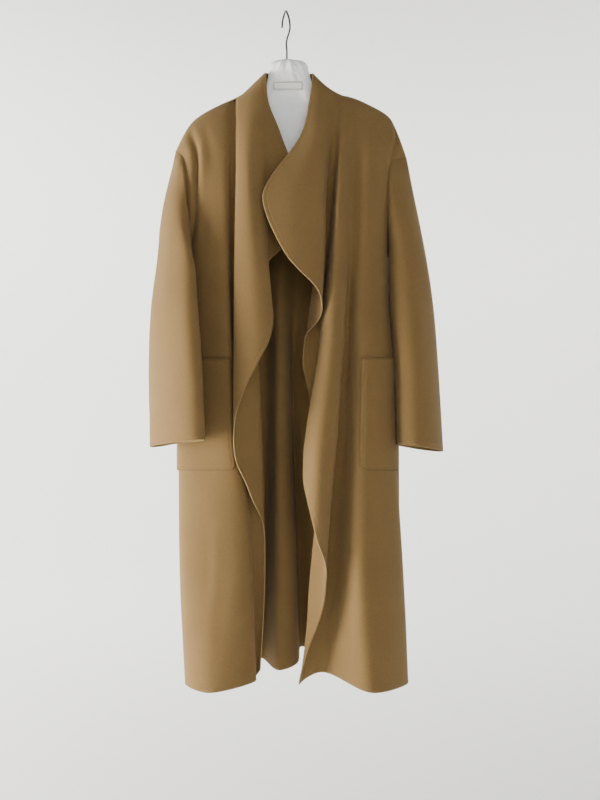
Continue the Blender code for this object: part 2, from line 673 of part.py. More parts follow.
def mesh_point(sheet, stations, station, key):
    """A point and normal on a sheet's facets, by station and fold."""
    r = max(i for i in range(len(stations) - 1) if stations[i] <= station)
    share = (station - stations[r]) / (stations[r + 1] - stations[r])
    ends = []
    for row in (sheet.index[r], sheet.index[r + 1]):
        c = max(i for i in range(len(row) - 1) if row[i][0] <= key)
        part = (key - row[c][0]) / (row[c + 1][0] - row[c][0])
        a, b = row[c][1], row[c + 1][1]
        ends.append((sheet.points[a].lerp(sheet.points[b], part), sheet.lift(a).lerp(
            sheet.lift(b), part)))
    return ends[0][0].lerp(ends[1][0], share), ends[0][1].lerp(ends[1][1], share)


def make_pocket_rows(front, edges):
    """A patch with rounded lower corners, made from the panel's points moved out."""
    span = POCKET_BOTTOM_STATION - POCKET_TOP_STATION
    corner = (POCKET_BOTTOM_STATION - POCKET_CORNER_STATION) / span
    levels = [(s - POCKET_TOP_STATION) / span for s in STATIONS]
    levels = [0.0] + [v for v in levels if 0.03 < v < 1 - corner - 0.03]
    levels += [1 - corner, 1 - 0.4 * corner, 1.0]
    rows = []
    for level in levels:
        station = POCKET_TOP_STATION + span * level
        low = edges["outer"][0] + (edges["outer"][1] - edges["outer"][0]) * level
        high = edges["inner"][0] + (edges["inner"][1] - edges["inner"][0]) * level
        into = max(0.0, (level - 1 + corner) / corner)
        cut = POCKET_CORNER * (1 - math.sqrt(max(0.0, 1 - into * into)))
        wide = (mesh_point(front, STATIONS, station, high)[0]
                - mesh_point(front, STATIONS, station, high - 0.5)[0]).length / 0.5
        side = (mesh_point(front, STATIONS, station, low)[0]
                - mesh_point(front, STATIONS, station, low + 0.5)[0]).length / 0.5
        low, high = low + cut / side, high - cut / wide
        inside = [k for k, _ in front.index[-1] if low + 0.02 < k < high - 0.02]
        row = []
        for key in [low] + inside + [high]:
            point, normal = mesh_point(front, STATIONS, station, key)
            row.append((key, point + normal * (CLOTH + SEAM_GAP + 0.25)))
        rows.append(row)
    return rows


# ---- The hanger --------------------------------------------------------------------------


def cover_rows(columns=28):
    """One ring for each drawn height, from an oval to a flat bag with rounded ends."""
    rows = []
    for height, left, right, half_depth, roundness in COVER_RINGS:
        row = []
        for k in range(columns):
            angle = 2 * math.pi * k / columns
            out, ahead = math.cos(angle), math.sin(angle)
            out = math.copysign(abs(out) ** roundness, out)
            ahead = math.copysign(abs(ahead) ** roundness, ahead)
            row.append((k, placed(
                (left + right) / 2 - out * (right - left) / 2, height, half_depth * ahead)))
        rows.append(row)
    return rows


def make_arms(material, sides=12):
    mesh = bmesh.new()
    rings = []
    for across, up, half_depth, half_height in ARM_SECTIONS:
        ring = []
        for k in range(sides):
            angle = 2 * math.pi * k / sides
            ring.append(mesh.verts.new(placed(
                across, up - half_height + half_height * math.sin(angle),
                half_depth * math.cos(angle)) * MM))
        rings.append(ring)
    for a, b in zip(rings, rings[1:]):
        for k in range(sides):
            mesh.faces.new([a[k], a[(k + 1) % sides], b[(k + 1) % sides], b[k]])
    mesh.faces.new(list(reversed(rings[0])))
    mesh.faces.new(rings[-1])
    return mesh_object("hanger_arms", mesh, material)


def make_hook(material, points_per_span=3):
    route = [Vector(point) for point in HOOK_ROUTE]
    count = points_per_span * (len(route) - 1) + 1
    wire = bpy.data.curves.new("hanger_hook", "CURVE")
    wire.dimensions = "3D"
    wire.bevel_depth = WIRE / 2 * MM
    wire.bevel_resolution = 2
    wire.use_fill_caps = True
    spline = wire.splines.new("POLY")
    spline.points.add(count - 1)
    for k, point in enumerate(spline.points):
        point.co = (*(placed(*through(route, k / points_per_span)) * MM), 1.0)
    wire.materials.append(material)
    item = bpy.data.objects.new("hanger_hook", wire)
    bpy.context.scene.collection.objects.link(item)
    return item


def label_rows():
    width, height = LABEL_SIZE
    forward = COVER_FACE + COVER_CLOTH / 2 + SEAM_GAP + LABEL_CLOTH / 2
    rows = []
    for k in range(3):
        up = LABEL_CENTRE[1] + height * (0.5 - k / 2)
        rows.append([
            (i, placed(LABEL_CENTRE[0] + width * (i / 6 - 0.5), up, forward)) for i in range(7)
        ])
    return rows


def build():
    clear_scene()
    wool = finish("camel_wool", (0.46, 0.31, 0.15), 0.95)
    cotton = finish("white_cotton", (0.80, 0.80, 0.79), 0.85)
    steel = finish("steel_wire", (0.35, 0.35, 0.34), 0.35, 1.0)
    beech = finish("beech", (0.62, 0.45, 0.28), 0.55)

    right_rows, left_rows = make_fronts()
    back_rows, neck = make_back_rows(right_rows, left_rows)
    front_right = Sheet("front_right", CLOTH, right_rows)
    front_left = Sheet("front_left", CLOTH, left_rows, flip=True)
    coat = [
        front_right,
        front_left,
        Sheet("back", CLOTH, back_rows, flip=True),
        Sheet("collar_back", CLOTH, make_collar_rows(right_rows, left_rows, neck), flip=True),
        Sheet("sleeve_right", CLOTH,
              make_sleeve_rows(RIGHT_ARMHOLE, RIGHT_SLEEVE_RINGS, RIGHT_SLEEVE_TWIST, -1),
              closed=8),
        Sheet("sleeve_left", CLOTH,
              make_sleeve_rows(LEFT_ARMHOLE, LEFT_SLEEVE_RINGS, LEFT_SLEEVE_TWIST, 1),
              closed=8, flip=True),
    ]
    join_seams(coat)
    coat += [
        Sheet("pocket_right", CLOTH, make_pocket_rows(front_right, RIGHT_POCKET_EDGES)),
        Sheet("pocket_left", CLOTH, make_pocket_rows(front_left, LEFT_POCKET_EDGES), flip=True),
    ]
    join_seams(coat[-2:])
    cuts = [0] + [STATIONS.index(station) for station in PANEL_CUTS] + [len(STATIONS) - 1]
    for sheet in coat:
        if sheet.name in ("front_right", "front_left", "back"):
            for k, level in enumerate(("upper", "middle", "lower")):
                sheet.part(f"{sheet.name}_{level}", cuts[k], cuts[k + 1]).wall(wool)
        elif sheet.name.startswith("sleeve"):
            sheet.part(f"{sheet.name}_upper", 0, SLEEVE_CUT).wall(wool)
            sheet.part(f"{sheet.name}_lower", SLEEVE_CUT, len(sheet.index) - 1).wall(wool)
        else:
            sheet.wall(wool)

    trim = [Sheet("hanger_cover", COVER_CLOTH, cover_rows(), closed=28),
            Sheet("hanger_label", LABEL_CLOTH, label_rows())]
    join_seams(trim)
    for sheet in trim:
        sheet.wall(cotton)
    make_arms(beech)
    make_hook(steel)


build()
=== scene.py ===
import math

import bmesh
import bpy
import numpy as np
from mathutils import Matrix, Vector


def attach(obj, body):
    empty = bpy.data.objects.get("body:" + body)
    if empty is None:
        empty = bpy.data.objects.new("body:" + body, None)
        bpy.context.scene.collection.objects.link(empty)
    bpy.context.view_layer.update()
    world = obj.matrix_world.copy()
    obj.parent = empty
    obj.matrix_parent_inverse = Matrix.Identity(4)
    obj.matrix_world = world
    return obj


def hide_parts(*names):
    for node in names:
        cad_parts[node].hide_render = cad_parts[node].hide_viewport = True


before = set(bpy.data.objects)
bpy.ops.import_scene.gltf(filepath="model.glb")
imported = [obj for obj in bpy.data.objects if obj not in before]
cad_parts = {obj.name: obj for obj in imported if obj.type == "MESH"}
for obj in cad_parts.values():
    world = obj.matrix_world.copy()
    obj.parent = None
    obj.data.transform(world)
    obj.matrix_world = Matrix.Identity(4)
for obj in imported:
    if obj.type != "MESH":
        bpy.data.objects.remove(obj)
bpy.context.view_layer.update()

bpy.ops.object.select_all(action="DESELECT")


# ---- Wearer's right front ----------------------------
# Double-faced camel wool, 2.4 mm thick, cut in one piece from the shoulder to the hem. It is sewn
# to the back at the shoulder and the side, and its free edge is raw and left long, so that it hangs
# in soft folds. Each fold runs from the shoulder (station 0) past the underarm (4) to the hem (11).
cloth_thickness = 2.4  # all lengths are in millimetres until a mesh is made
drawn_from = np.array([25.0, -1600.0, -737.0])  # the tables are drawn as they look from here
hem_station, underarm_station = 11, 4
# Heights: shares of the way from shoulder to underarm for stations 0 to 4, then per station.
upper_shares = [0.0, 0.15, 0.35, 0.65, 1.0]
lower_heights = {5: -557, 6: -661, 7: -813, 8: -946, 9: -1079, 10: -1174}
# The shoulder seam as (across, up), and the armhole as (across, up, forward), from the shoulder
# point over the front, under the arm and up the back.
right_shoulder = [
    (-210, -265), (-203, -250), (-196, -236), (-188, -222), (-175, -206), (-144, -186),
    (-93, -163), (-84, -157), (-60, -134), (-41, -116),
]
right_armhole = [
    (-210, -265, 0), (-196, -276, 16), (-191, -312, 32), (-190, -384, 30),
    (-196, -452, -3), (-194, -384, -36), (-196, -318, -38), (-204, -280, -22),
]
# The side seam as (station, across, forward).
right_side_seam = [(4, -196, -3), (5, -203, -8), (7, -203, -14), (9, -197, -12), (11, -187, -5)]
right_seam_hem = -1264
# Folds from the side seam inwards: name, height at the hem, [(station, across, forward), ...].
right_front_folds = [
    ("side", -1279, [(0, -196, 0), (1, -182, 28), (2, -179, 44), (3, -181, 44), (4, -190, 24),
                     (5, -196, 20), (6, -200, 20), (7, -202, 22), (9, -199, 40), (11, -190, 54)]),
    ("panel", -1293, [(0, -156, 0), (1, -152, 27), (2, -148, 42), (4, -150, 50), (6, -150, 50),
                      (7, -148, 54), (8, -142, 64), (9, -139, 74), (11, -148, 88)]),
    ("turn", -1272, [(0, -116, 0), (1, -115, 26), (2, -114, 41), (4, -114, 60), (5, -110, 63),
                     (6, -105, 64), (7, -97, 65), (8, -78, 66), (9, -70, 70), (11, -62, 72)]),
    ("valley", -1262, [(0, -106, 0), (1, -105, 21), (2, -105, 32), (4, -105, 34), (6, -101, 36),
                       (7, -89, 40), (8, -70, 44), (9, -64, 44), (11, -60, 38)]),
    ("inner", -1249, [(0, -101, 0), (1, -100, 22), (2, -98, 33), (3, -90, 38), (4, -78, 42),
                      (5, -64, 45), (6, -53, 47), (7, -47, 50), (8, -43, 52), (9, -42, 52),
                      (11, -51, 46)]),
    ("ridge", -1240, [(0, -93, 0), (1, -93, 31), (2, -94, 50), (4, -99, 76), (6, -101, 88),
                      (7, -101, 92), (9, -92, 86), (11, -84, 80)]),
    ("roll", -1240, [(0, -76, 0), (1, -76, 37), (2, -76, 60), (3, -74, 80), (4, -70, 96),
                     (5, -63, 106), (6, -57, 108), (7, -57, 104), (11, -57, 100)]),
    ("brow", -1240, [(0, -57, 0), (1, -56, 34), (2, -53, 54), (3, -49, 68), (4, -39, 88),
                     (5, -28, 98), (6, -21, 98), (11, -21, 90)]),
    ("recess", -1240, [(0, -40, 0), (1, -38, 27), (2, -28, 40), (3, -32, 48), (4, -36, 64),
                       (5, -36, 80), (6, -28, 82), (11, -28, 80)]),
    ("end", -1240, [(0, -27, 0), (1, -22, 22), (2, 6, 32), (3, 25, 36), (4, -6, 54),
                    (5, -26, 70), (6, -20, 76), (11, -20, 76)]),
]
# Where the cloth ends: (station, number of the fold).
right_front_reach = [
    (0, 9.0), (1, 9.1), (2, 9.5), (3, 10.0), (3.6, 10.0), (4, 9.8), (4.24, 9.0), (4.73, 8.6),
    (5.22, 8.0), (5.73, 7.5), (6, 7.1), (6.25, 6.72), (6.48, 6.45), (6.71, 6.2), (7, 6.0),
    (7.28, 5.84), (7.57, 5.6), (7.86, 5.43), (8, 5.32), (8.14, 5.18), (8.29, 5.08), (8.6, 5.0),
    (11, 5.0),
]
# Smaller creases: (station and fold of the start, of the end, depth, half width).
right_front_creases = [
    ((1.6, 1.2), (3.2, 1.6), -1.6, 14), ((2.2, 2.1), (4.4, 2.2), 1.5, 12),
    ((0.6, 1.9), (2.2, 2.2), -1.2, 10), ((3.2, 1.0), (4.8, 1.5), -1.8, 16),
    ((7.9, 1.2), (10.4, 1.4), 1.6, 22), ((8.2, 2.3), (10.8, 2.1), -1.4, 16),
    ((2.2, 7.2), (4.6, 7.3), 1.2, 9), ((8.0, 1.9), (9.6, 1.8), -1.1, 12),
    ((0.2, 1.3), (4.3, 1.15), -13.0, 10), ((0.0, 5.1), (3.8, 5.1), -5.0, 5),
]


def place(across, up, forward):
    """The true place of a point that is drawn at (across, up) and stands forward."""
    drawn = np.array([across, 0.0, up])
    return drawn_from + (drawn - drawn_from) * (1.0 + forward / drawn_from[1])


def reading(table, at):
    """A smooth reading of rows (key, value, ...)."""
    keys = [row[0] for row in table]
    rows = [np.array(row[1:], float) for row in table]
    if at <= keys[0]:
        return rows[0]
    if at >= keys[-1]:
        return rows[-1]
    i = max(k for k in range(len(keys)) if keys[k] <= at)
    span = keys[i + 1] - keys[i]
    u = (at - keys[i]) / span

    def slope(k):
        low, high = max(k - 1, 0), min(k + 1, len(keys) - 1)
        return (rows[high] - rows[low]) / (keys[high] - keys[low])

    return (
        (2 * u**3 - 3 * u**2 + 1) * rows[i] + (u**3 - 2 * u**2 + u) * slope(i) * span
        + (3 * u**2 - 2 * u**3) * rows[i + 1] + (u**3 - u**2) * slope(i + 1) * span
    )


def curve_point(points, at, closed=False):
    """A point on the smooth curve through points; whole numbers are the points."""
    count = len(points)
    if closed:
        i = int(math.floor(at))
        four = [points[(i + k) % count] for k in (-1, 0, 1, 2)]
    else:
        i = min(max(int(math.floor(at)), 0), count - 2)
        before = points[i - 1] if i else points[0] * 2 - points[1]
        after = points[i + 2] if i + 2 < count else points[-1] * 2 - points[-2]
        four = [before, points[i], points[i + 1], after]
    knots = [0.0]
    for a, b in zip(four, four[1:]):
        knots.append(knots[-1] + max(float(np.sum((b - a) ** 2)), 1e-12) ** 0.25)
    t = knots[1] + (at - i) * (knots[2] - knots[1])

    def mix(a, b, low, high):
        return a + (b - a) * ((t - low) / (high - low))

    first = [mix(four[k], four[k + 1], knots[k], knots[k + 1]) for k in range(3)]
    second = [mix(first[k], first[k + 1], knots[k], knots[k + 2]) for k in range(2)]
    return mix(second[0], second[1], knots[1], knots[2])


def folded_panel(shoulder, armhole, way, side_seam, seam_hem, folds, opposite=None):
    """The panel's folds at a station, from its side seam inwards, as points."""
    outline = sorted(shoulder)
    underarm = armhole[underarm_station][1]
    lines = []
    for _, hem, knots in folds:
        top = reading(outline, knots[0][1])[0]
        heights = [(i, top + share * (underarm - top)) for i, share in enumerate(upper_shares)]
        heights += list(lower_heights.items()) + [(hem_station, hem)]
        if knots[0][2] == 0:  # the cloth goes level over the shoulder
            knots = [(-1, knots[1][1], -3 * knots[1][2])] + knots
            heights = [(-1, heights[1][1])] + heights
        lines.append((knots, heights))
    seam_heights = [
        (underarm_station, underarm), *lower_heights.items(), (hem_station, seam_hem)]
    loop = [np.array(point, float) for point in armhole]

    def seam(station):
        if station < underarm_station:
            return curve_point(loop, way * station % len(loop), closed=True)
        across, forward = reading(side_seam, station)
        return np.array([across, reading(seam_heights, station)[0], forward])

    def at_station(station):
        row = [seam(station)]
        for knots, heights in lines:
            across, forward = reading(knots, station)
            row.append(np.array([across, reading(heights, station)[0], forward]))
        return row + [opposite(station)] if opposite else row

    return seam, at_station


def run_along(points):
    """The length run up to each point of a line."""
    steps = np.linalg.norm(np.diff(points, axis=0), axis=1)
    return np.concatenate([[0.0], np.cumsum(steps)])


def at_run(wanted, run, points):
    """The places on a line at the wanted lengths."""
    return np.stack([np.interp(wanted, run, points[:, axis]) for axis in range(3)], axis=1)


def soft_row(drawn, keys, columns, softness):
    """One row across the cloth, eased over a few millimetres and evenly spaced."""
    points = np.array([place(*point) for point in drawn])
    run = run_along(points)
    even = np.linspace(0.0, run[-1], max(int(run[-1]), 8))  # about one point a millimetre
    fine = at_run(even, run, points)
    reach = int(softness * 2.5)
    weights = np.exp(-0.5 * (np.arange(-reach, reach + 1) / softness) ** 2)
    weights /= weights.sum()
    padded = np.concatenate([
        2 * fine[0] - fine[reach:0:-1], fine, 2 * fine[-1] - fine[-2:-reach - 2:-1]])
    eased = np.stack(
        [np.convolve(padded[:, axis], weights, "valid") for axis in range(3)], axis=1)
    at = np.linspace(0.0, run[-1], columns)
    return at_run(at, even, eased), np.interp(at, run, keys)


# Rows of a panel's grid, closest where the cloth turns over the shoulder.
stations = np.concatenate([
    [0.0, 0.01, 0.03, 0.06, 0.1, 0.16, 0.24, 0.34, 0.46, 0.6, 0.75, 0.9],
    np.arange(1.0, underarm_station, 0.1),
    np.arange(underarm_station, hem_station + 0.0001, 0.07)])
stations[-1] = hem_station


def draped(at_station, outline, columns, reach=None, softness=3.5, top_softness=0.0):
    """Grid of points and of fold numbers for a panel; its folds are eased over softness."""
    points, folds = [], []
    keys_per_fold, softest = 14, 1.2  # softest: the station where top_softness counts in full
    outline, top = sorted(outline), at_station(0)
    for station in stations:
        row = at_station(station)
        end = reading(reach, station)[0] if reach else len(row) - 1.0
        keys = np.linspace(0.0, min(end, len(row) - 1.0), int(end * keys_per_fold) + 2)
        drawn = [curve_point(row, key) for key in keys]
        if station < 1:  # near the shoulder seam the cloth takes the seam's own line
            for point, key in zip(drawn, keys):
                seam_point = curve_point(top, key)
                sag = reading(outline, seam_point[0])[0] - seam_point[1]
                point[1] += sag * (1 - station) ** 2
        soft = softness + top_softness * max(0.0, 1 - abs(station - softest) / softest)
        line, keys = soft_row(drawn, keys, columns, soft)
        points.append(line)
        folds.append(keys)
    return np.array(points), np.array(folds)


def grid_normals(grid, closed=False):
    """Unit normals at the points of a grid, all on the same side of it."""
    if closed:
        across = np.roll(grid, -1, axis=1) - np.roll(grid, 1, axis=1)
    else:
        across = np.gradient(grid, axis=1)
    normals = np.cross(np.gradient(grid, axis=0), across)
    return normals / np.maximum(np.linalg.norm(normals, axis=2, keepdims=True), 1e-9)


def normals_to(grid, way, probe):
    """The normals on a panel's front (way -1) or back (way 1), as judged at one point."""
    out = grid_normals(grid)
    return -out if out[probe][1] * way < 0 else out


def renewed(out, grid, closed=False):
    """The normals of a grid after it was pressed, on the side where they were before."""
    fresh = grid_normals(grid, closed)
    return np.sign(np.sum(out * fresh, 2, keepdims=True)) * fresh


def crease(grid, out, folds, table):
    """Presses soft troughs and ridges along a panel, each between two places on it."""
    grid = grid.copy()
    run = np.array([run_along(row) for row in grid])
    for (s0, k0), (s1, k1), depth, half_width in table:
        for r in np.where((stations >= s0) & (stations <= s1))[0]:
            t = (stations[r] - s0) / (s1 - s0)
            middle = np.interp(k0 + (k1 - k0) * t, folds[r], run[r])
            # It fades out at both ends, unless it starts in the shoulder seam.
            fade = math.cos(math.pi / 2 * t) ** 0.5 if s0 == 0 else math.sin(math.pi * t) ** 0.8
            press = depth * fade * np.exp(-((run[r] - middle) / half_width) ** 2)
            grid[r] += out[r] * press[:, None]
    return grid


def whole_panel(rows, outline, columns, creases, way, probe, **shape):
    """A panel's grid, its normals and its fold numbers, with its smaller creases pressed in."""
    grid, folds = draped(rows, outline, columns, **shape)
    out = normals_to(grid, way, probe)
    grid = crease(grid, out, folds, creases)
    return grid, renewed(out, grid), folds


def cut_upright(out, where=slice(None)):
    """Turns the normals so that the wall's top edge is cut off upright, as at the shoulder."""
    out[0, where] *= (1, 0, 1)
    out[0] /= np.linalg.norm(out[0], axis=1, keepdims=True)


def edge_run(grid, sides):
    """How far each point is from the nearest of the named edges, in millimetres."""
    across = np.array([run_along(row) for row in grid])
    down = np.array([run_along(column) for column in grid.swapaxes(0, 1)]).T
    runs = {"first": across, "last": across[:, -1:] - across,
            "top": down, "hem": down[-1:] - down}
    return np.minimum.reduce([np.full(across.shape, 1e3)] + [runs[side] for side in sides])


def cloth_wall(name, grid, thickness, material, normals, edges="", closed=False, rim=1.0):
    """A wall of cloth with rounded edges round a grid of millimetre points, as an object.

    Its attribute cut_edge has the value of rim along every edge, where the materials paint a
    highlight or shade, and edge_run is how far a point is from the nearest of the named edges.
    """
    bulge, rim_fade = 0.35, 0.4  # how far an edge is rounded out, and how far the painted shade of a rim below zero goes in
    rows, columns = grid.shape[:2]
    half = thickness / 2
    sides = [grid + normals * half, grid - normals * half]
    far = edge_run(grid, edges)
    points = [tuple(p) for side in sides for p in side.reshape(-1, 3) / 1000]
    run = list(far.reshape(-1)) * 2
    cut = [0.0] * len(run)
    inner = rows * columns

    def at(r, c):
        return r * columns + c % columns

    faces = []
    last = columns if closed else columns - 1
    for r in range(rows - 1):
        for c in range(last):
            quad = (at(r, c), at(r + 1, c), at(r + 1, c + 1), at(r, c + 1))
            faces.append(quad)
            faces.append(tuple(i + inner for i in reversed(quad)))
    if closed:
        loops = [[(0, c, 1, c) for c in range(columns)],
                 [(rows - 1, c, rows - 2, c) for c in reversed(range(columns))]]
    else:
        loops = [
            [(0, c, 1, c) for c in range(columns)]
            + [(r, columns - 1, r, columns - 2) for r in range(1, rows)]
            + [(rows - 1, c, rows - 2, c) for c in reversed(range(columns - 1))]
            + [(r, 0, r, 1) for r in reversed(range(1, rows - 1))]]
    for loop in loops:
        middle = []
        for r, c, inside_r, inside_c in loop:
            way = grid[r, c] - grid[inside_r, inside_c]
            way /= max(np.linalg.norm(way), 1e-9)
            for vert in (at(r, c), at(r, c) + inner):
                cut[vert] = min(0.0, rim_fade * rim)
            middle.append(len(points))
            points.append(tuple((grid[r, c] + way * bulge * thickness) / 1000))
            run.append(far[r, c])
            cut.append(rim)
        for k in range(len(loop)):
            n = (k + 1) % len(loop)
            a, b = at(*loop[k][:2]), at(*loop[n][:2])
            faces.append((a, b, middle[n], middle[k]))
            faces.append((middle[k], middle[n], b + inner, a + inner))
    data = bpy.data.meshes.new(name)
    data.from_pydata(points, [], faces)
    data.attributes.new("edge_run", "FLOAT", "POINT").data.foreach_set("value", run)
    data.attributes.new("cut_edge", "FLOAT", "POINT").data.foreach_set("value", cut)
    mesh = bmesh.new()
    mesh.from_mesh(data)
    bmesh.ops.recalc_face_normals(mesh, faces=mesh.faces[:])
    if mesh.calc_volume(signed=True) < 0:
        bmesh.ops.reverse_faces(mesh, faces=mesh.faces[:])
    mesh.to_mesh(data)
    mesh.free()
    data.shade_smooth()
    data.materials.append(material)
    piece = bpy.data.objects.new(name, data)
    bpy.context.scene.collection.objects.link(piece)
    return piece


def join(links, value, socket):
    """Links an output to a socket, or sets a constant on it."""
    if isinstance(value, bpy.types.NodeSocket):
        links.new(value, socket)
    else:
        socket.default_value = value


def made(tree, kind, output, **inputs):
    """The named output of a new node; an input is an output of another node or a constant."""
    node = tree.nodes.new(kind)
    for name, value in inputs.items():
        join(tree.links, value, node.inputs[name.replace("_", " ")])
    return node.outputs[output]


def maths(tree, operation, *values, clamp=False):
    """The result of a maths node; each value is an output of another node or a constant."""
    node = tree.nodes.new("ShaderNodeMath")
    node.operation = operation
    node.use_clamp = clamp
    for value, socket in zip(values, node.inputs):
        join(tree.links, value, socket)
    return node.outputs[0]


def mixed(tree, factor, first, second, blend="MIX", kind="RGBA"):
    """A mix of two colours, or of two numbers where the kind is FLOAT."""
    node = tree.nodes.new("ShaderNodeMix")
    node.data_type = kind
    node.blend_type = blend
    for name, value in (("Factor", factor), ("A", first), ("B", second)):
        join(tree.links, value, node.inputs[name])
    return node.outputs["Result"]


def ramp(tree, source, low, high, start=0.0, end=1.0):
    """A colour that goes from low to high as the source goes from start to end."""
    node = tree.nodes.new("ShaderNodeValToRGB")
    for element, position, colour in zip(node.color_ramp.elements, (start, end), (low, high)):
        element.position = position
        element.color = (*colour, 1)
    tree.links.new(source, node.inputs["Fac"])
    return node.outputs["Color"]


def attribute(tree, name):
    node = tree.nodes.new("ShaderNodeAttribute")
    node.attribute_name = name
    return node.outputs["Fac"]


def object_place(tree):
    return made(tree, "ShaderNodeTexCoord", "Object")


def fibre_group():
    """Short fibres: fine flecks and soft clumps, as a colour mask and a height."""
    group = bpy.data.node_groups.new("Short fibres", "ShaderNodeTree")
    for name, way in (("Clump size", "INPUT"), ("Fibre size", "INPUT"),
                      ("Fleck", "OUTPUT"), ("Height", "OUTPUT")):
        group.interface.new_socket(name, in_out=way, socket_type="NodeSocketFloat")
    given, result = group.nodes.new("NodeGroupInput"), group.nodes.new("NodeGroupOutput")
    where = object_place(group)

    def noise(size, detail):
        scale = maths(group, "DIVIDE", 1.0, given.outputs[size])
        return made(group, "ShaderNodeTexNoise", "Fac", Vector=where, Scale=scale, Detail=detail,
                    Roughness=0.6)

    clump, fibre = noise("Clump size", 3.0), noise("Fibre size", 2.0)
    group.links.new(mixed(group, 0.5, clump, fibre, kind="FLOAT"), result.inputs["Fleck"])
    group.links.new(fibre, result.inputs["Height"])
    return group


fibres = fibre_group()


def new_material(name, **constants):
    """A material with its constants set, its shader and its node tree."""
    material = bpy.data.materials.new(name)
    material.use_nodes = True
    shader = material.node_tree.nodes["Principled BSDF"]
    for socket, value in constants.items():
        shader.inputs[socket.replace("_", " ")].default_value = value
    return material, shader, material.node_tree


def fibre_node(tree, clump_size, fibre_size):
    """Flecks and height of short fibres of the given sizes, in metres."""
    node = tree.nodes.new("ShaderNodeGroup")
    node.node_tree = fibres
    node.inputs["Clump size"].default_value = clump_size
    node.inputs["Fibre size"].default_value = fibre_size
    return node.outputs["Fleck"], node.outputs["Height"]


def dress(tree, shader, colour, height, strength, distance):
    """Gives the shader its colour and its bumps; the distance is in metres."""
    normal = made(tree, "ShaderNodeBump", "Normal", Height=height, Strength=strength,
                  Distance=distance)
    join(tree.links, colour, shader.inputs["Base Color"])
    tree.links.new(normal, shader.inputs["Normal"])


def wool_material():
    """Brushed camel wool: flecked nap, faint clouding, painted highlight on cut edges, painted
    shade round sewn-down patches.
    """
    material, shader, tree = new_material(
        "Camel wool", Roughness=0.92, Specular_IOR_Level=0.18, Sheen_Weight=0.12,
        Sheen_Roughness=0.55, Sheen_Tint=(0.95, 0.80, 0.60, 1.0))
    fleck, nap = fibre_node(tree, 0.0026, 0.0007)
    cloud = made(tree, "ShaderNodeTexNoise", "Fac", Vector=object_place(tree), Scale=11.0,
                 Detail=2.0)
    shades = ramp(tree, fleck, (0.160, 0.096, 0.034), (0.198, 0.122, 0.046), 0.36, 0.64)
    clouds = ramp(tree, cloud, (0.93, 0.93, 0.93), (1.0, 1.0, 1.0), 0.3, 0.7)
    clouded = mixed(tree, 1.0, shades, clouds, "MULTIPLY")
    # Painted highlight: every cut edge (cut_edge above zero) is mixed toward a lighter camel, as if
    # it caught the light.
    cut = attribute(tree, "cut_edge")
    lighter = maths(tree, "MULTIPLY", cut, 0.8)
    edged = mixed(tree, lighter, clouded, (0.40, 0.29, 0.14, 1))
    # Painted shade: where a patch is sewn down (cut_edge below zero), its rim is darkened toward
    # near black.
    painted_rim_shade = maths(tree, "MULTIPLY", cut, -0.9, clamp=True)
    shaded = mixed(tree, painted_rim_shade, edged, (0.040, 0.023, 0.008, 1))
    # A pressed line runs 7 mm inside every edge, where the two faces are sewn together.
    away = maths(tree, "ABSOLUTE", maths(tree, "SUBTRACT", attribute(tree, "edge_run"), 7.0))
    press = made(tree, "ShaderNodeMapRange", "Result", Value=away, From_Min=0.0, From_Max=2.2)
    press.node.interpolation_type = "SMOOTHSTEP"
    height = maths(tree, "MULTIPLY_ADD", nap, 0.6, press)
    dress(tree, shader, shaded, height, 0.45, 0.0006)
    return material


wool = wool_material()
_, right_rows = folded_panel(
    right_shoulder, right_armhole, 1, right_side_seam, right_seam_hem, right_front_folds)
right_grid, right_out, right_folds = whole_panel(
    right_rows, right_shoulder, columns=170, creases=right_front_creases, way=-1,
    probe=(60, 30), reach=right_front_reach, softness=3.0)
cut_upright(right_out)
front_right = cloth_wall(
    "wool_front_right", right_grid, cloth_thickness, wool, right_out, ("last", "hem"))
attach(front_right, "root")
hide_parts("front_right_upper", "front_right_middle", "front_right_lower")


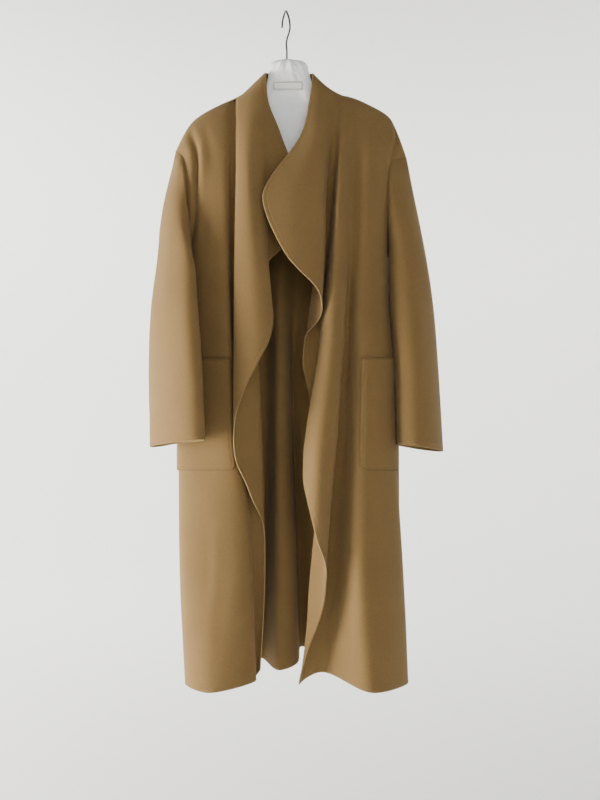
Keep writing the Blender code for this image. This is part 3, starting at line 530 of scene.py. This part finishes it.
# ---- Wearer's left front -----------------------------
# The same wool and the same cut, mirrored. It lies over the right front: its edge crosses to the
# right as a broad lapel, folds back at the waist and falls in a wave to the hem.
left_shoulder = [
    (226, -277), (217, -251), (209, -230), (198, -206), (183, -192), (157, -178),
    (133, -167), (107, -160), (85, -149), (67, -135), (49, -117),
]
left_armhole = [
    (226, -277, 0), (197, -285, 18), (192.5, -322, 36), (189.5, -395, 34),
    (189, -464, -3), (196, -395, -34), (202, -330, -38), (214, -292, -22),
]
left_side_seam = [(4, 189, -3), (5, 186, -10), (7, 196, -14), (9, 214, -14), (11, 224, -8)]
left_seam_hem = -1264
left_front_folds = [
    ("side", -1277, [(0, 209, 0), (1, 197, 25), (2, 189, 40), (3, 187, 46), (4, 185, 46),
                     (5, 189, 46), (6, 197, 50), (7, 202, 50), (8, 210, 50), (9, 218, 50),
                     (11, 227, 52)]),
    ("broad", -1293, [(0, 158, 0), (1, 156, 28), (2, 152, 48), (3, 150, 64), (4, 144, 74),
                      (5, 137, 82), (6, 142, 86), (7, 139, 90), (9, 142, 102), (11, 160, 108)]),
    ("dip", -1253, [(0, 124, 0), (1, 126, 23), (2, 128, 40), (3, 126, 54), (4, 122, 60),
                    (5, 118, 60), (7, 106, 58), (8, 94, 56), (9, 83, 54), (10, 72, 50),
                    (11, 64, 46)]),
    ("inner", -1277, [(0, 121, 0), (1, 122, 24), (2, 124, 40), (3, 121, 54), (4, 116, 62),
                      (5, 110, 64), (6, 100, 64), (7, 78, 62), (8, 56, 62), (9, 42, 66),
                      (10, 36, 66), (11, 23, 62)]),
    ("turn", -1270, [(0, 118, 0), (1, 119, 25), (2, 120, 42), (3, 117, 60), (4, 114, 72),
                     (5, 111, 80), (6, 106, 84), (7, 96, 88), (8, 84, 92), (9, 75, 96),
                     (11, 66, 92)]),
    ("ridge", -1270, [(0, 110, 0), (1, 108, 33), (2, 103, 56), (3, 97, 76), (4, 93, 88),
                      (5, 86, 98), (6, 80, 102), (7, 63, 106), (8, 57, 108), (11, 48, 108)]),
    ("left", -1270, [(0, 98, 0), (1, 98, 28), (2, 98, 46), (3, 92, 58), (4, 82, 66), (5, 70, 70),
                     (6, 60, 72), (7, 35, 76), (8, 28, 78), (11, 22, 80)]),
    ("gap", -1270, [(0, 93, 0), (1, 92, 20), (2, 92, 32), (3, 86, 36), (4, 76, 36), (5, 67, 36),
                    (6, 58, 38), (7, 40, 44), (11, 34, 44)]),
    ("under", -1270, [(0, 90, 0), (1, 89, 21), (2, 84, 34), (3, 70, 40), (4, 57, 44), (5, 44, 46),
                      (6, 30, 46), (7, 21, 50), (11, 21, 50)]),
    ("brow", -1270, [(0, 84, 0), (1, 80, 29), (2, 75, 50), (3, 73, 70), (4, 72, 84), (5, 67, 96),
                     (6, 63, 98), (11, 63, 98)]),
    ("lapel", -1270, [(0, 66, 0), (1, 63, 36), (2, 53, 60), (3, 21, 84), (4, 21, 100),
                      (5, 25, 108), (11, 25, 108)]),
    ("end", -1270, [(0, 49, 0), (1, 43, 28), (2, 24, 50), (3, -45, 80), (4, -48, 98),
                    (11, -48, 98)]),
]
left_front_reach = [
    (0, 12.0), (3, 12.0), (3.3, 11.85), (3.65, 11.6), (4, 11.3), (4.24, 11.0), (4.5, 10.6),
    (4.75, 10.25), (5, 10.0), (5.22, 9.75), (5.4, 9.5), (5.55, 9.2), (5.7, 9.0), (6, 8.95),
    (6.25, 8.6), (6.5, 8.2), (6.9, 7.5), (7.2, 7.0), (7.55, 6.85), (7.8, 6.6), (8.1, 6.3),
    (8.4, 5.95), (8.7, 5.4), (8.95, 5.0), (9.3, 4.9), (9.8, 4.66), (10.2, 4.42), (10.4, 4.3),
    (10.7, 4.16), (11, 4.0),
]
left_front_creases = [
    ((1.4, 1.3), (3.4, 1.6), -1.5, 14), ((0.5, 1.8), (2.6, 1.9), 1.3, 11),
    ((3.4, 1.2), (5.4, 1.4), -1.6, 15), ((1.8, 10.3), (4.0, 10.2), 1.3, 12),
    ((8.0, 1.5), (10.6, 1.4), 1.6, 20), ((8.4, 2.3), (10.7, 2.4), -1.3, 12),
    ((2.4, 5.2), (4.6, 5.1), -1.0, 8), ((0.0, 1.2), (1.05, 0.2), -9.0, 5),
]
_, left_rows = folded_panel(
    left_shoulder, left_armhole, 1, left_side_seam, left_seam_hem, left_front_folds)
left_grid, left_out, left_folds = whole_panel(
    left_rows, left_shoulder, columns=200, creases=left_front_creases, way=-1,
    probe=(60, 30), reach=left_front_reach, softness=5.5, top_softness=5.0)
cut_upright(left_out)
front_left = cloth_wall(
    "wool_front_left", left_grid, cloth_thickness, wool, left_out, ("last", "hem"))
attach(front_left, "root")
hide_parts("front_left_upper", "front_left_middle", "front_left_lower")


# ---- Back --------------------------------------------
# One piece of the same wool with no centre seam. It falls from the shoulder seams in shallow
# flutes, and the middle of it comes forward between the fronts.
# Folds from the right side seam to the left one, as in the fronts' tables.
back_folds = [
    ("side_right", -1244, [(0, -196, 0), (1, -186, -26), (2, -180, -40), (4, -184, -46),
                           (7, -192, -50), (11, -176, -54)]),
    ("blade_right", -1234, [(0, -150, 0), (1, -146, -25), (2, -143, -38), (4, -140, -44),
                            (7, -130, -52), (11, -118, -62)]),
    ("neck_right", -1230, [(0, -84, 0), (1, -84, -27), (2, -84, -36), (4, -80, -40),
                           (7, -72, -34), (11, -72, -40)]),
    ("valley_right", -1226, [(0, -46, -24), (1, -46, -34), (3, -42, -42), (5, -40, -50),
                             (8, -42, -56), (11, -50, -58)]),
    ("centre", -1250, [(0, -4, -29), (1, -4, -34), (3, -6, -36), (5, -14, -22), (6, -15, -8),
                       (8, -15, 8), (11, -14, 30)]),
    ("brow", -1238, [(0, 24, -29), (1, 22, -34), (3, 8, -38), (5, -2, -30), (6, 0, -18),
                     (7, 3, -10), (8, 8, -4), (9, 13, 2), (11, 18, 10)]),
    ("valley_left", -1204, [(0, 46, -27), (1, 44, -36), (3, 28, -44), (5, 16, -50), (6, 11, -54),
                            (7, 13, -56), (8, 18, -58), (11, 28, -60)]),
    ("ridge_left", -1216, [(0, 64, -20), (1, 62, -34), (3, 50, -42), (5, 34, -40), (7, 36, -32),
                           (8, 44, -40), (11, 56, -54)]),
    ("neck_left", -1226, [(0, 107, 0), (1, 104, -27), (2, 102, -36), (4, 98, -42), (7, 96, -40),
                          (11, 100, -44)]),
    ("blade_left", -1234, [(0, 160, 0), (1, 156, -25), (2, 154, -38), (4, 150, -46),
                           (7, 160, -56), (11, 170, -64)]),
    ("side_left", -1244, [(0, 209, 0), (1, 198, -26), (2, 190, -40), (3, 189, -44),
                          (4, 192, -46), (4.5, 199, -47), (5, 205, -47), (6, 210, -47),
                          (7, 212, -48), (9, 211, -50), (11, 214, -52)]),
]
back_creases = [
    ((0.8, 1.3), (3.0, 2.2), 1.6, 16), ((0.8, 10.7), (3.2, 9.8), 1.6, 16),
    ((2.2, 1.2), (4.6, 1.8), -1.8, 15), ((2.4, 10.8), (4.6, 10.2), -1.8, 15),
    ((4.6, 2.4), (8.2, 2.6), 1.8, 20), ((5.2, 9.5), (9.2, 9.4), 1.8, 20),
    ((6.8, 3.5), (10.6, 3.4), -1.4, 14), ((7.6, 8.4), (10.8, 8.6), -1.4, 14),
    ((1.0, 4.4), (3.4, 4.8), 1.2, 16), ((1.2, 7.6), (3.6, 7.2), 1.2, 16),
]
neck_right, neck_left = -84, 107
back_outline = (
    [point for point in right_shoulder if point[0] <= neck_right]
    + [(-46, -162), (-4, -163), (24, -163), (52, -163)]
    + [point for point in left_shoulder if point[0] >= neck_left])
back_opposite, _ = folded_panel(
    left_shoulder, left_armhole, -1, left_side_seam, left_seam_hem, [])
_, back_rows = folded_panel(
    back_outline, right_armhole, -1, right_side_seam, right_seam_hem, back_folds, back_opposite)
back_grid, back_out, _ = whole_panel(
    back_rows, back_outline, columns=170, creases=back_creases, way=1, probe=(60, 75))
cut_upright(back_out, (back_grid[0, :, 0] < neck_right) | (back_grid[0, :, 0] > neck_left))
back = cloth_wall("wool_back", back_grid, cloth_thickness, wool, back_out, ("hem",))
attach(back, "root")
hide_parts("back_upper", "back_middle", "back_lower")


# ---- Back of the collar ------------------------------
# A band of the same wool, sewn to the back's neck and to the ends of the two fronts, which turn up
# into it. It stands up behind the neck, and its top edge is cut like the fronts' free edges.
stands_from = 6.5  # the fold of each front from which its top edge stands up
collar_height_rows, seam_room = 14, 4
arch, flattening = 4, 0.12  # the top edge: higher in the middle, and less deep than the neck


def collar_end(grid_row, folds_row):
    """The end of a front's top edge that stands up, and each point's share of its rise."""
    points = grid_row[folds_row >= stands_from]
    run = run_along(points)
    return points, run / run[-1]


right_end, right_rise = collar_end(right_grid[0], right_folds[0])
left_end, left_rise = collar_end(left_grid[0], left_folds[0])
neck_line = back_grid[0]
neck = neck_line[(neck_line[:, 0] > right_end[0, 0] + seam_room)
                 & (neck_line[:, 0] < left_end[0, 0] - seam_room)]
neck = np.concatenate([[right_end[0]], neck, [left_end[0]]])
collar_rows = []
for rise in np.linspace(1.0, 0.0, collar_height_rows):
    first, last = at_run([rise], right_rise, right_end)[0], at_run([rise], left_rise, left_end)[0]
    line = []
    for foot in neck:
        share = (foot[0] - neck[0, 0]) / (neck[-1, 0] - neck[0, 0])
        straight = neck[0] + share * (neck[-1] - neck[0])
        point = first + (last - first) * share
        point[1] += (foot[1] - straight[1]) * (1 - flattening * rise)
        point[2] += arch * rise * math.sin(math.pi * share) + (
            foot[2] - straight[2]) * (1 - rise)
        line.append(point)
    collar_rows.append(line)
collar_grid = np.array(collar_rows)
collar_out = normals_to(collar_grid, 1, (6, len(neck) // 2))
collar = cloth_wall("wool_collar_back", collar_grid, cloth_thickness, wool, collar_out, ("top",))
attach(collar, "root")
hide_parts("collar_back")


# ---- Sleeves -----------------------------------------
# Two wide sleeves of the same wool with dropped shoulders, set into the armholes with a plain seam
# and left open and raw at the cuff. Each is an oval tube that hangs from the shoulder.
# How the cloth leaves the seam, at the armhole's points: (outwards, up, forward).
sleeve_start = [
    (4, -20, 0), (7, -6, 3), (2, -4, 6), (4, -3, 5), (8, -3, 1), (8, -3, -3), (7, -4, -3),
    (7, -9, -2),
]
# Ovals down the sleeve: (across, up, forward, half width, half depth, degrees that its front turns
# inwards, how much higher its outer side is).
right_sleeve_rings = [
    (-209, -414, 25, 18, 41, 32, 54),
    (-210, -486, 48, 19, 50, 41, 30),
    (-213, -562, 60, 26, 58, 42, 6),
    (-211, -665, 72, 29, 65, 43, 0),
    (-208, -819, 78, 30, 68, 43, 0),
]
left_sleeve_rings = [
    (220, -420, 11, 23.5, 47, 14, 50),
    (230.5, -500, 16, 33.5, 50, 15, 25),
    (238, -566, 20, 38, 56, 16, 4),
    (245.5, -665, 24, 38.5, 60, 16, 0),
    (253, -828, 28, 41, 62, 17, -4),
]
# Creases: (place round and row share of the start, of the end, depth, half width).
sleeve_creases = [
    ((2.6, 0.10), (1.4, 0.30), 2.2, 12), ((3.2, 0.16), (1.8, 0.42), -2.4, 12),
    ((3.4, 0.30), (1.2, 0.48), 2.0, 13), ((5.4, 0.12), (6.8, 0.36), 2.4, 14),
    ((5.0, 0.24), (6.6, 0.52), -2.4, 14), ((2.2, 0.46), (0.9, 0.60), -1.8, 14),
    ((1.2, 0.56), (1.5, 0.92), 1.6, 16), ((6.2, 0.58), (6.6, 0.94), 1.6, 16),
    ((2.8, 0.60), (2.6, 0.95), -1.4, 12), ((0.2, 0.30), (0.1, 0.70), 1.2, 14),
]


def tube_grid(columns, steps):
    """The points round a tube at the given steps down its columns."""
    return np.array([[curve_point(column, min(step, len(column) - 1.0001)) for column in columns]
                     for step in steps])


def tube_normals(grid):
    """The normals that point out of a closed tube."""
    out = grid_normals(grid, closed=True)
    middle = grid.mean(axis=1, keepdims=True)
    return -out if np.sum((grid - middle) * out) < 0 else out


def make_sleeve(name, armhole, rings, twist, outward, cuff_rise, upper, lower):
    """A sleeve from its armhole and ovals; cuff_rise is how much higher the cuff's front is."""
    places_round, rows_per_ring = 112, 14
    loop = [np.array(point, float) for point in armhole]
    starts = [np.array(row, float) for row in sleeve_start]
    columns = []
    for spot in np.arange(0, len(loop), len(loop) / places_round):
        seam_point = place(*curve_point(loop, spot, closed=True))
        out, rise, ahead = curve_point(starts, spot, closed=True)
        column = [seam_point, seam_point + (outward * out, -ahead, rise)]
        angle = 2 * math.pi * spot / len(loop)
        at = angle + math.radians(twist) * ((1 - math.cos(angle)) / 2) ** 4
        for across, up, forward, half_width, half_depth, turn, tilt in rings:
            lift = cuff_rise if up == rings[-1][1] else 0.0
            lean = math.radians(turn)
            wide, deep = half_width * math.cos(at), half_depth * math.sin(at)
            column.append(place(
                across + outward * (wide * math.cos(lean) - deep * math.sin(lean)),
                up + tilt * math.cos(angle) + lift * math.sin(angle),
                forward + wide * math.sin(lean) + deep * math.cos(lean)))
        columns.append(column)
    steps = np.concatenate(
        [[0, 0.25, 0.5, 0.75], np.arange(1, len(columns[0]) - 0.999, 1 / rows_per_ring)])
    grid = tube_grid(columns, steps)
    out = tube_normals(grid)
    for (p0, s0), (p1, s1), depth, half_width in sleeve_creases:
        first, last = [
            (int(share * (len(steps) - 1)), int(spot / len(loop) * places_round) % places_round)
            for spot, share in ((p0, s0), (p1, s1))]
        run = grid[last] - grid[first]
        t = np.clip(((grid - grid[first]) @ run) / (run @ run), 0, 1)
        far = np.linalg.norm(grid - grid[first] - t[..., None] * run, axis=2)
        facing = np.clip(out @ out[first], 0, 1)
        press = depth * np.exp(-(far / half_width) ** 2) * np.sin(np.pi * t) ** 0.8 * facing
        press[0] = 0  # the armhole seam stays where it is
        grid = grid + out * press[..., None]
    out = renewed(out, grid, closed=True)
    piece = cloth_wall(name, grid, cloth_thickness, wool, out, ("hem",), closed=True)
    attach(piece, "root")
    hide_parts(upper, lower)
    return piece


sleeve_right = make_sleeve(
    "wool_sleeve_right", right_armhole, right_sleeve_rings, twist=22, outward=-1, cuff_rise=7.0,
    upper="sleeve_right_upper", lower="sleeve_right_lower")
sleeve_left = make_sleeve(
    "wool_sleeve_left", left_armhole, left_sleeve_rings, twist=8, outward=1, cuff_rise=5.0,
    upper="sleeve_left_upper", lower="sleeve_left_lower")


# ---- Patch pockets -----------------------------------
# A patch of the same wool on each front, sewn down on three sides and open at the top, with
# rounded lower corners. It follows the folds of the front that it is sewn to.
def make_pocket(name, grid, out, folds, outer, inner_top, inner_bottom, node):
    """A pocket on a front, between two of its fold numbers; the inner one is given twice."""
    top, bottom = 5.97, 7.42  # stations of the front
    corner_height, corner_radius = 0.0876, 13.0  # in stations and in millimetres
    seam_lift, mouth_gape, mouth_share, across = 1.1, 2.6, 0.10, 40
    levels = np.concatenate([
        np.linspace(top, bottom - corner_height, 30),
        bottom - corner_height * np.cos(np.linspace(0.12, math.pi / 2, 9))])
    rows = []
    for level in levels:
        share = (level - top) / (bottom - top)
        into = max(0.0, (level - bottom + corner_height) / corner_height)
        cut = corner_radius * (1 - math.sqrt(max(0.0, 1 - into * into)))
        r = min(np.searchsorted(stations, level) - 1, len(stations) - 2)
        part = (level - stations[r]) / (stations[r + 1] - stations[r])
        line, normal, keys = [
            table[r] * (1 - part) + table[r + 1] * part for table in (grid, out, folds)]
        run = run_along(line)
        low = np.interp(outer, keys, run) + cut
        high = np.interp(inner_top + (inner_bottom - inner_top) * share, keys, run) - cut
        at = np.linspace(low, high, across)
        lift = at_run(at, run, normal)
        lift /= np.linalg.norm(lift, axis=1, keepdims=True)
        gape = mouth_gape * max(0.0, 1 - share / mouth_share) * np.sin(
            np.linspace(0, math.pi, across))
        rows.append(at_run(at, run, line) + lift * (cloth_thickness + seam_lift + gape[:, None]))
    pocket_grid = np.array(rows)
    # A rim of -1 makes the wool material paint shade round the pocket's edges.
    piece = cloth_wall(name, pocket_grid, cloth_thickness, wool,
                       normals_to(pocket_grid, -1, (10, 20)),
                       ("first", "last", "top", "hem"), rim=-1.0)
    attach(piece, "root")
    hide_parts(node)


make_pocket("wool_pocket_right", right_grid, right_out, right_folds, outer=0.16, inner_top=2.93,
            inner_bottom=2.84, node="pocket_right")
make_pocket("wool_pocket_left", left_grid, left_out, left_folds, outer=0.12, inner_top=2.0,
            inner_bottom=2.0, node="pocket_left")


# ---- Cover of the hanger -----------------------------
# A bag of white cotton, 1 mm thick, drawn up round the hook's stem and hanging over the hanger's
# arms. Small gathers run out from the stem and down from the neck.
cover_thickness, cover_places, cover_rows_per_ring = 1.0, 144, 7
# Rings: (up, right edge, left edge, half depth, roundness, 1 for an oval and 0.5 for a box).
cover_rings = [
    (-89.5, -2.8, 2.8, 2.8, 1), (-91, -12, 14, 7, 1), (-94, -25, 31, 9.5, 1),
    (-101, -32, 38.5, 11, 1), (-112, -33.5, 41, 11, 1), (-130, -37, 46, 12, 0.6),
    (-148, -44, 56, 12, 0.5), (-166, -70, 84, 10, 0.5), (-180, -104, 128, 8.5, 0.5),
    (-196, -138, 158, 8.5, 0.5), (-214, -164, 176, 9, 0.5), (-236, -170, 180, 10, 0.5),
    (-290, -172, 180, 14, 0.6),
]
# Gathers, drawn on its front: (across and up of the start, of the end, depth, half width).
cover_gathers = [
    ((-6, -93), (-20, -112), 1.8, 3.0), ((0, -93), (-4, -118), -1.8, 3.0),
    ((6, -93), (10, -120), 1.62, 3.2), ((10, -94), (28, -112), -1.62, 3.2),
    ((-14, -98), (-30, -124), -1.44, 4.0), ((20, -97), (36, -126), 1.62, 4.0),
    ((-26, -152), (-34, -190), 2.34, 5.0), ((-12, -152), (-14, -200), -2.16, 6.0),
    ((6, -152), (2, -190), 2.16, 6.0), ((20, -152), (24, -196), -2.16, 6.0),
    ((34, -150), (44, -190), 2.16, 6.0), ((-34, -130), (-40, -160), 1.8, 5.0),
    ((40, -128), (48, -158), -1.8, 5.0), ((10, -122), (13, -134), 1.62, 2.6),
    ((18, -121), (21, -134), -1.62, 2.6), ((-10, -120), (-12, -133), -1.44, 3.0),
    ((-60, -186), (-90, -240), -2.52, 10.0), ((80, -190), (110, -245), 2.52, 10.0),
    ((-20, -215), (-26, -280), 2.52, 10.0), ((30, -212), (40, -280), -2.52, 10.0),
    ((-110, -215), (-124, -280), 2.34, 10.0), ((140, -215), (150, -280), -2.34, 10.0),
]


def cotton_material():
    """White cotton: a plain weave too fine to count, softly uneven."""
    material, shader, tree = new_material(
        "White cotton", Roughness=0.8, Specular_IOR_Level=0.25, Sheen_Weight=0.1)
    fleck, weave = fibre_node(tree, 0.02, 0.0006)
    shades = ramp(tree, fleck, (0.91, 0.92, 0.93), (0.97, 0.97, 0.96), 0.3, 0.7)
    dress(tree, shader, shades, weave, 0.2, 0.0003)
    return material


cover_columns = []
for k in range(cover_places):
    angle = 2 * math.pi * k / cover_places
    column = []
    for height, right_edge, left_edge, half_depth, roundness in cover_rings:
        out = math.copysign(abs(math.cos(angle)) ** roundness, math.cos(angle))
        ahead = math.copysign(abs(math.sin(angle)) ** roundness, math.sin(angle))
        column.append(place((right_edge + left_edge) / 2 - out * (left_edge - right_edge) / 2,
                            height, half_depth * ahead))
    cover_columns.append(column)
cover_grid = tube_grid(
    cover_columns, np.arange(0, len(cover_rings) - 0.999, 1 / cover_rows_per_ring))
cover_out = tube_normals(cover_grid)
for (x0, z0), (x1, z1), depth, half_width in cover_gathers:
    start, run = np.array([x0, z0]), np.array([x1 - x0, z1 - z0])
    flat_place = cover_grid[..., [0, 2]] - start
    t = np.clip((flat_place @ run) / (run @ run), 0, 1)
    far = np.linalg.norm(flat_place - t[..., None] * run, axis=2)
    press = depth * np.exp(-(far / half_width) ** 2)
    press *= np.sin(np.pi * np.clip(t, 0.02, 0.98)) ** 0.6
    # The front of the cover and its back are gathered alike.
    cover_grid = cover_grid + cover_out * (press * np.abs(cover_out[..., 1]))[..., None]
cover_out = renewed(cover_out, cover_grid, closed=True)
cover = cloth_wall("cotton_cover", cover_grid, cover_thickness, cotton_material(), cover_out,
                   ("hem",), closed=True)
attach(cover, "root")
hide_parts("hanger_cover")


# ---- Blank label -------------------------------------
# A strip of white woven tape, 57 by 17 mm, with nothing on it. It is sewn to the front of the
# cover round its rim, with a row of grey stitches, and its top edge stands off a little.
label_width, label_height, label_middle = 57, 17, (2.0, -140.0)
label_forward, label_curl, label_thickness = 13.0, 0.5, 0.7
label_grid = np.array([
    [place(label_middle[0] + label_width * (u - 0.5), label_middle[1] + label_height * (0.5 - v),
           label_forward + label_curl * math.sin(math.pi * u) * (1 - v))
     for u in np.linspace(0, 1, 40)] for v in np.linspace(0, 1, 14)])


def tape_material():
    """Woven tape: fine ribs along its length."""
    material, shader, tree = new_material("Woven tape", Roughness=0.6)
    ribs = made(tree, "ShaderNodeTexWave", "Color", Vector=object_place(tree), Scale=420.0,
                Distortion=0.4)
    ribs.node.bands_direction = "Z"
    fleck, _ = fibre_node(tree, 0.004, 0.0004)
    shades = ramp(tree, fleck, (0.76, 0.76, 0.74), (0.88, 0.88, 0.86))
    # A row of grey stitches runs 2 mm inside its rim, and the rim itself is darkened with painted
    # shade.
    stitched = maths(tree, "COMPARE", attribute(tree, "edge_run"), 2.0, 0.7)
    darker = maths(tree, "MAXIMUM", stitched, attribute(tree, "cut_edge"))
    marked = mixed(tree, darker, shades, (0.34, 0.34, 0.33, 1))
    dress(tree, shader, marked, ribs, 0.3, 0.0003)
    return material


label = cloth_wall("woven_label", label_grid, label_thickness, tape_material(),
                   normals_to(label_grid, -1, (5, 20)), ("first", "last", "top", "hem"))
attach(label, "root")
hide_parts("hanger_label")


# ---- Hook and arms -----------------------------------
# The hanger under the cover is turned beech, and its hook is plain round steel wire of 3.7 mm,
# with its stem set into the middle of the arms. Both keep their own shapes and get a material.
def wire_material():
    """Drawn steel wire with small dull spots."""
    material, shader, tree = new_material("Steel wire", Metallic=1.0)
    spots = made(tree, "ShaderNodeTexNoise", "Fac", Vector=object_place(tree), Scale=300.0,
                 Detail=3.0)
    dull = made(tree, "ShaderNodeMapRange", "Result", Value=spots, To_Min=0.24, To_Max=0.48)
    tree.links.new(dull, shader.inputs["Roughness"])
    dress(tree, shader, (0.06, 0.06, 0.058, 1), spots, 0.1, 0.0002)
    return material


def beech_material():
    """Plain beech: pale brown with short darker rays along the arm."""
    material, shader, tree = new_material("Beech", Roughness=0.5)
    along = made(tree, "ShaderNodeMapping", "Vector", Vector=object_place(tree),
                 Scale=(12.0, 90.0, 90.0))
    grain = made(tree, "ShaderNodeTexNoise", "Fac", Vector=along, Scale=3.0, Detail=5.0)
    shades = ramp(tree, grain, (0.38, 0.23, 0.11), (0.62, 0.43, 0.25))
    dress(tree, shader, shades, grain, 0.15, 0.0004)
    return material


for node, material in (("hanger_hook", wire_material()), ("hanger_arms", beech_material())):
    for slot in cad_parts[node].material_slots:
        slot.material = material


# ---- Studio ------------------------------------------
# A pale floor that curves up into a round wall far away on all sides. A soft light stands at the
# left, a weak one in front, and two more light the wall behind. Lengths here are in metres.
floor_height, floor_radius, bend_radius, bend_steps, wall_height = -1.75, 3.5, 2.0, 12, 5.0
bpy.ops.mesh.primitive_circle_add(
    vertices=96, radius=floor_radius, fill_type="NGON", location=(0, 0, 0))
studio = bpy.context.active_object
studio.name = "studio_floor"
mesh = bmesh.new()
mesh.from_mesh(studio.data)
loop = [edge for edge in mesh.edges if edge.is_boundary]
for step in range(1, bend_steps + 1):
    angle = math.pi / 2 * step / bend_steps
    grown = bmesh.ops.extrude_edge_only(mesh, edges=loop)["geom"]
    loop = [part for part in grown if isinstance(part, bmesh.types.BMEdge)]
    for vert in {v for edge in loop for v in edge.verts}:
        way = Vector((vert.co.x, vert.co.y, 0)).normalized()
        vert.co = way * (floor_radius + bend_radius * math.sin(angle)) + Vector(
            (0, 0, bend_radius * (1 - math.cos(angle))))
for part in bmesh.ops.extrude_edge_only(mesh, edges=loop)["geom"]:
    if isinstance(part, bmesh.types.BMVert):
        part.co.z = wall_height
bmesh.ops.recalc_face_normals(mesh, faces=mesh.faces[:])
for vert in mesh.verts:
    vert.co.z += floor_height
mesh.to_mesh(studio.data)
mesh.free()
studio.data.shade_smooth()
paper, _, _ = new_material("Studio paper", Base_Color=(0.86, 0.86, 0.84, 1), Roughness=1.0,
                           Specular_IOR_Level=0.0)
studio.data.materials.clear()
studio.data.materials.append(paper)


def soft_light(name, location, aim, size, power, colour):
    """A round area light, in metres and watts, that is turned to its aim."""
    light = bpy.data.lights.new(name, "AREA")
    light.shape = "DISK"
    light.size = size
    light.energy = power
    light.color = colour
    lamp = bpy.data.objects.new(name, light)
    bpy.context.scene.collection.objects.link(lamp)
    lamp.location = location
    lamp.rotation_euler = (Vector(aim) - Vector(location)).to_track_quat("-Z", "Y").to_euler()


soft_light("window_light", (-2.4, -0.38, -1.1), (0, 0, -0.65), 1.3, 190, (1.0, 0.965, 0.88))
soft_light("weak_light", (0.5, -3.0, 0.0), (0, 0, -0.6), 2.2, 31, (0.97, 0.98, 1.0))
soft_light("paper_light_left", (-2.2, 1.6, 1.6), (-1.2, 5.5, -1.0), 1.6, 330, (1.0, 1.0, 0.99))
soft_light("paper_light_right", (2.2, 1.6, 1.6), (1.2, 5.5, -1.0), 1.6, 130, (1.0, 1.0, 0.99))
world = bpy.data.worlds.new("Pale room")
bpy.context.scene.world = world
world.use_nodes = True
sky = world.node_tree.nodes["Background"]
sky.inputs["Color"].default_value = (0.86, 0.87, 0.87, 1)
sky.inputs["Strength"].default_value = 0.12

camera_data = bpy.data.cameras.new("camera")
camera_data.lens = 37.9
camera_data.sensor_width = 36.0
camera = bpy.data.objects.new("camera", camera_data)
bpy.context.scene.collection.objects.link(camera)
camera.location = (0.025, -1.6, -0.737)
camera.rotation_euler = (math.radians(90), 0, 0)
bpy.context.scene.camera = camera
